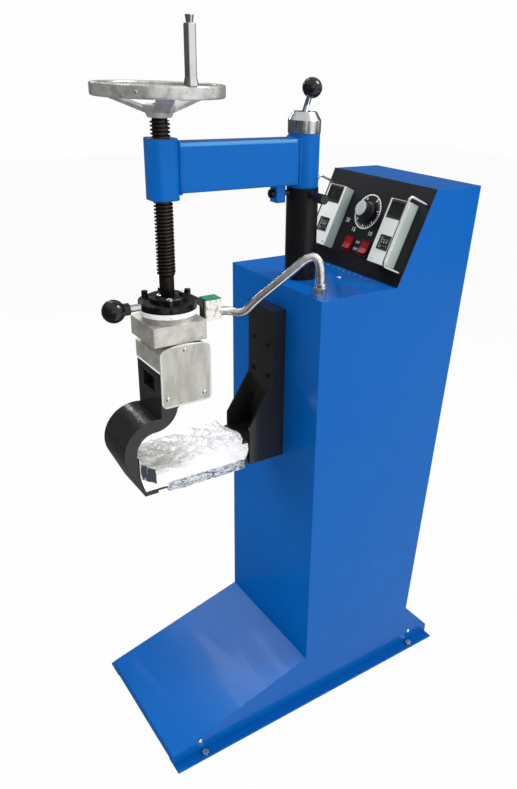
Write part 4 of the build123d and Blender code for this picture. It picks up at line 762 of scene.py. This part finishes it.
# The lower strip on the right side is painted as crinkles of dark blue-grey and pale facets: painted shade on the
# film's underside, with painted lit and shaded facets.
shaded_lower_strip = (1 - film.z.over(0.594, 0.002)) * film.x.over(0.038, 0.004) * film.y.over(-0.258, 0.003)
shards = film.noise(1.0, 3, 0.7, where=film.stretched(90.0, 42.0, 130.0), distortion=2.5)
painted_crinkle_shading = film.mix(shards.over(0.5, 0.05), (0.10, 0.115, 0.15), (0.62, 0.65, 0.70))
shade = film.mix(shaded_lower_strip * (0.55 + 0.45 * soft.over(0.45, 0.1)), shade, painted_crinkle_shading)
fold = (film.noise(34, 1) - 0.5) * 0.012
leaning = film.z - fold + (film.y + 0.29) * 0.7
patch = (film.y + fold).between(-0.309, -0.281, 0.0010) * leaning.between(0.604, 0.634, 0.0010)
patch = patch * film.x.over(0.040, 0.003)
# Pale streaks break the dark patch where the dark arm shows through the film: painted reflections.
painted_reflection_streaks = film.noise(1.0, 2, where=film.stretched(60.0, 120.0, 34.0), distortion=0.8).over(0.64, 0.05)
film.set("Base Color", film.mix(patch * (1 - 0.8 * painted_reflection_streaks), shade, (0.018, 0.024, 0.045)))
film.set("Roughness", 0.12 + 0.3 * fine)
film.bump(soft * 0.6 + lines * (0.08 + 0.6 * far_end + 0.3 * shade_zone + 0.4 * shaded_lower_strip) + fine * 0.08, 0.003, 0.6)
BACK_EDGE, FRONT_EDGE = -0.074, -0.312
THROAT = np.array([-0.277, 0.665])
chance = np.random.default_rng(21)
s = np.linspace(0, 1, 150)[:, None]
a = np.linspace(0, 1, 220, endpoint=False)[None]
# Round the arm: the corners of a rounded rectangle, started at the far bottom edge.
corner_u = np.array([-1, 1, 1, -1, -1.0])
corner_v = np.array([-1, -1, 1, 1, -1.0])
around_u = np.interp(a * 4, np.arange(5), corner_u)
around_v = np.interp(a * 4, np.arange(5), corner_v)
# The back edge is torn in long tongues, and the front edge leans with the throat.
tongue = 0.006 * np.sin(a * 2 * math.pi * 2 + 0.8) + 0.003 * np.sin(a * 2 * math.pi * 5 + 2.0)
lean = np.where(around_v > 0, 0.0, 0.010 * around_v)
start = BACK_EDGE - 0.012 - 0.014 * (around_v > 0.6) + tongue
end = FRONT_EDGE - lean
y = start + (end - start) * s
fall = np.clip(THROAT[0] - y, 0, 0.0365)
top = THROAT[1] - np.sqrt(0.0372**2 - fall**2) + 0.0055 + 0.007 * np.clip((y + 0.16) / 0.07, 0, 1)
bottom = 0.5735 + 0.015 * np.clip((-0.256 - y) / 0.003, 0, 1)
middle, half = (top + bottom) / 2, (top - bottom) / 2
x = 0.0482 * np.sign(around_u) * np.abs(around_u) ** 0.9
z = middle + half * around_v
points = np.stack([x + 0 * y, y + 0 * x, z + 0 * x], axis=-1)
# Creases: folded plane waves in many directions, each a triangle wave, so that flats meet in sharp lines.
crumple = np.zeros(points.shape[:2])
for size, count in ((0.0022, 5), (0.0013, 8), (0.0006, 10)):
    for _ in range(count):
        direction = chance.normal(size=3)
        direction /= np.linalg.norm(direction)
        rate = 1 / (size * chance.uniform(9, 18))
        phase = points @ direction * rate + chance.uniform(0, 1) + 0.25 * np.sin(points @ chance.normal(size=3) * 40)
        crumple += size / math.sqrt(count) * (2 * np.abs(2 * (phase % 1) - 1) - 1)
outwards = np.stack([around_u + 0 * y, 0 * y + 0 * around_u, around_v + 0 * y], axis=-1)
outwards /= np.linalg.norm(outwards, axis=-1)[..., None]
calm = np.where((around_v < 0.75) & (around_u > 0), 0.30, 1.0) * np.where(y < -0.25, 0.5, 1.0)
points = points + (crumple * calm + 0.0014)[..., None] * outwards
sleeve = skin("crumpled_film", points, film, "pedestal", around=True)
modifier = sleeve.modifiers.new("smooth", "SUBSURF")
modifier.levels = modifier.render_levels = 1
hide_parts("protective_film")

# ---------------------------------------------------------------- conduit
# The heater's leads run in a bright spiral-wound steel conduit, from the terminal box on the head up in a hump and
# down into the gland on the cabinet.
CONDUIT_ROUTE = [
    (-0.003, -0.120, 0.8892),
    (-0.003, -0.099, 0.8892),
    (0.022, -0.080, 0.884),
    (0.046, -0.068, 0.916),
    (0.071, -0.047, 0.946),
    (0.094, -0.024, 0.976),
    (0.110, -0.002, 1.0025),
    (0.120, 0.012, 1.0035),
    (0.124, 0.019, 0.981),
    (0.124, 0.019, 0.955),
]
CONDUIT_RADIUS, STRIP_PITCH = 0.0082, 0.0030
line = bpy.data.curves.new("conduit_line", "CURVE")
line.dimensions = "3D"
line.resolution_u = 24
spline = line.splines.new("NURBS")
spline.points.add(len(CONDUIT_ROUTE) - 1)
spline.points.foreach_set("co", np.c_[CONDUIT_ROUTE, np.ones(len(CONDUIT_ROUTE))].ravel())
spline.order_u = 3
spline.use_endpoint_u = True
guide = bpy.data.objects.new("conduit_line", line)
bpy.context.scene.collection.objects.link(guide)
bpy.context.view_layer.update()
traced = bpy.data.meshes.new_from_object(guide)
route = np.zeros(len(traced.vertices) * 3)
traced.vertices.foreach_get("co", route)
bpy.data.objects.remove(guide)
conduit_steel = Finish("conduit_steel", (0.80, 0.79, 0.77), 0.16, 1.0)
soot = conduit_steel.noise(60, 3)
conduit_steel.set("Base Color", conduit_steel.mix(soot.over(0.6, 0.15), (0.84, 0.83, 0.81), (0.55, 0.53, 0.51)))
conduit_steel.set("Roughness", 0.1 + 0.14 * conduit_steel.noise(240, 2))
conduit_steel.bump(conduit_steel.noise(900, 2), 0.00006, 0.4)
centre, travelled = resampled(route.reshape(-1, 3), STRIP_PITCH / 8)
# Each turn of the wound strip is a low rounded rib: the radius falls with a cosine's square between the ribs.
ribs = CONDUIT_RADIUS - 0.00032 * np.cos(math.pi * travelled / STRIP_PITCH) ** 2
stops = [0, len(centre) // 3, 2 * len(centre) // 3, len(centre) - 1]
carriers = [("head", "carriage"), ("carriage", "arm"), ("arm", "pedestal")]
for number, (first, last, pair) in enumerate(zip(stops, stops[1:], carriers)):
    stretch = centre[first : last + 1]
    hose = tube(f"conduit_{number + 1}", stretch, ribs[first : last + 1], conduit_steel, None, 24)
    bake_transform(hose)
    if number == 0:
        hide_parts("conduit_hose")
gland_plate = Finish("gland_plate", (0.66, 0.72, 0.78), 0.26, 1.0)
gland_plate.set("Roughness", 0.18 + 0.2 * gland_plate.noise(300, 2))
gland_plate.bump(gland_plate.noise(500, 2), 0.0001, 0.4, edge=0.0008)
dress(gland_plate, "conduit_gland")

# ---------------------------------------------------------------- floor, light and view
# A white sweep under soft boxes, seen from the operator's right and a little above.


def studio(name, colour, strength, seen):
    """A pale diffuse surface that shows the camera, mirrors and glass a plain white by the share seen."""
    finish = Finish(name, colour, 0.9)
    glow = finish.tree.nodes.new("ShaderNodeEmission")
    glow.inputs["Color"].default_value = (1, 1, 1, 1)
    glow.inputs["Strength"].default_value = strength
    rays = finish.tree.nodes.new("ShaderNodeLightPath")
    ray_kinds = ("Is Camera Ray", "Is Glossy Ray", "Is Transmission Ray")
    camera_ray, glossy, clear = (Socket(finish, rays.outputs[kind]) for kind in ray_kinds)
    share = (camera_ray + glossy + clear).math("MINIMUM", camera_ray + glossy + clear, 1.0) * seen
    blend = finish.tree.nodes.new("ShaderNodeMixShader")
    finish.tree.links.new(share.output, blend.inputs[0])
    finish.tree.links.new(finish.shader.outputs[0], blend.inputs[1])
    finish.tree.links.new(glow.outputs[0], blend.inputs[2])
    finish.tree.links.new(blend.outputs[0], finish.surface.inputs[0])
    return finish


floor_finish = studio("floor", (0.9, 0.9, 0.9), 0.985, 0.97)
reach = np.linspace(-9, 9, 9)
spread_x, spread_y = np.meshgrid(reach, reach)
floor = skin("floor", np.stack([spread_x, spread_y, np.full_like(spread_x, -0.001)], axis=-1), floor_finish, None)
# Dark felt lies on the floor but for the right and back, and a tent stands round the set. The tent is white overhead
# and at the right above a wavy horizon, and dark elsewhere. Only reflections show them.
felt = Finish("dark_felt", (0.05, 0.052, 0.055), 0.9)
felt_cards = []
for number, (x_low, x_high, y_low, y_high) in enumerate(
    ((-4.5, 0.17, -4.5, 0.0), (-4.5, -0.2, 0.0, 4.5), (0.17, 4.5, -4.5, -0.36))
):
    across_x, across_y = np.meshgrid(np.linspace(x_low, x_high, 3), np.linspace(y_low, y_high, 3))
    cloth = np.stack([across_x, across_y, np.full_like(across_x, 0.0002)], axis=-1)
    felt_cards.append(skin(f"floor_card_{number + 1}", cloth, felt, None))
tent_finish = Finish("tent", (0.5, 0.5, 0.5), 0.9)
glow = tent_finish.tree.nodes.new("ShaderNodeEmission")
side_way = tent_finish.x * 0.21 + tent_finish.y * 0.10
overhead_way = (tent_finish.z * 0.25).over(0.72, 0.16)
waves = tent_finish.noise(1.0, 2, where=tent_finish.vector(tent_finish.x * 0.9, tent_finish.y * 0.9, 0.0))
horizon = tent_finish.z.over(0.95 + (waves - 0.5) * 0.5, 0.10)
bright_side = side_way.over(0.30, 0.16) * horizon.math("MAXIMUM", horizon, side_way.over(0.86, 0.05))
amount = 0.10 + 0.90 * bright_side.math("MAXIMUM", bright_side, overhead_way * 0.75)
tent_finish.tree.links.new(amount.output, glow.inputs["Strength"])
tent_finish.tree.links.new(glow.outputs[0], tent_finish.surface.inputs[0])
azimuths = np.linspace(0, 2 * math.pi, 64, endpoint=False)[None]
heights = np.linspace(-0.02, math.pi / 2 - 0.01, 24)[:, None]
tent_points = 4.0 * np.stack(
    [np.cos(heights) * np.cos(azimuths), np.cos(heights) * np.sin(azimuths), np.sin(heights) + 0 * azimuths], axis=-1
)
tent = skin("tent", tent_points, tent_finish, None, around=True)
for piece in (*felt_cards, tent):
    piece.visible_camera = piece.visible_diffuse = piece.visible_shadow = piece.visible_transmission = False

world = bpy.data.worlds.new("studio_air")
bpy.context.scene.world = world
world.use_nodes = True
tree = world.node_tree
background = tree.nodes["Background"]
background.inputs["Color"].default_value = (1, 1, 1, 1)
rays = tree.nodes.new("ShaderNodeLightPath")
adding = tree.nodes.new("ShaderNodeMath")
adding.operation = "MAXIMUM"
tree.links.new(rays.outputs["Is Camera Ray"], adding.inputs[0])
tree.links.new(rays.outputs["Is Glossy Ray"], adding.inputs[1])
clear = tree.nodes.new("ShaderNodeMath")
clear.operation = "MAXIMUM"
tree.links.new(adding.outputs[0], clear.inputs[0])
tree.links.new(rays.outputs["Is Transmission Ray"], clear.inputs[1])
level = tree.nodes.new("ShaderNodeMapRange")
level.inputs["To Min"].default_value = 0.45
level.inputs["To Max"].default_value = 0.985
tree.links.new(clear.outputs[0], level.inputs["Value"])
tree.links.new(level.outputs[0], background.inputs["Strength"])


def soft_box(name, place, target, width, length, watts, mirrored=True):
    """A rectangular area lamp that faces the target. Mirrors show it only where mirrored."""
    box = bpy.data.lights.new(name, "AREA")
    box.shape = "RECTANGLE"
    box.energy, box.size, box.size_y = watts, width, length
    lamp_object = bpy.data.objects.new(name, box)
    aim = (Vector(target) - Vector(place)).to_track_quat("-Z", "Y")
    lamp_object.matrix_world = Matrix.Translation(place) @ aim.to_matrix().to_4x4()
    lamp_object.visible_glossy = mirrored
    bpy.context.scene.collection.objects.link(lamp_object)


soft_box("overhead", (-1.75, -0.1, 2.35), (0, -0.1, 0.5), 1.1, 1.1, 14, mirrored=False)
soft_box("streak", (-1.75, -0.1, 2.35), (0, -0.1, 0.5), 0.30, 1.3, 30)
soft_box("edge", (1.0, 1.5, 3.0), (0, -0.1, 0.9), 1.1, 1.1, 48)
soft_box("side", (2.6, -0.1, 1.5), (0, 0, 0.7), 1.5, 1.5, 35, mirrored=False)
soft_box("front", (-0.9, -2.8, 1.7), (0, 0, 0.7), 1.6, 1.6, 28, mirrored=False)

CAMERA_PLACE = (1.13764, -0.74722, 1.32174)
azimuth, elevation, roll = (math.radians(a) for a in (53.62, 23.69, 2.18))
away = Vector((math.sin(azimuth) * math.cos(elevation), -math.cos(azimuth) * math.cos(elevation), math.sin(elevation)))
level_right = (-away).cross(Vector((0, 0, 1))).normalized()
upright = level_right.cross(-away)
right = level_right * math.cos(roll) + upright * math.sin(roll)
top_way = upright * math.cos(roll) - level_right * math.sin(roll)
lens = bpy.data.cameras.new("camera")
lens.lens = 733.37 / 789 * 36
lens.sensor_width = 36
lens.shift_x = -49.56 / 789
lens.shift_y = -13.49 / 789
lens.clip_end = 50
camera = bpy.data.objects.new("camera", lens)
camera.matrix_world = Matrix([[right[i], top_way[i], away[i], CAMERA_PLACE[i]] for i in range(3)] + [[0, 0, 0, 1]])
bpy.context.scene.collection.objects.link(camera)
bpy.context.scene.camera = camera
bpy.context.scene.view_settings.view_transform = "Standard"
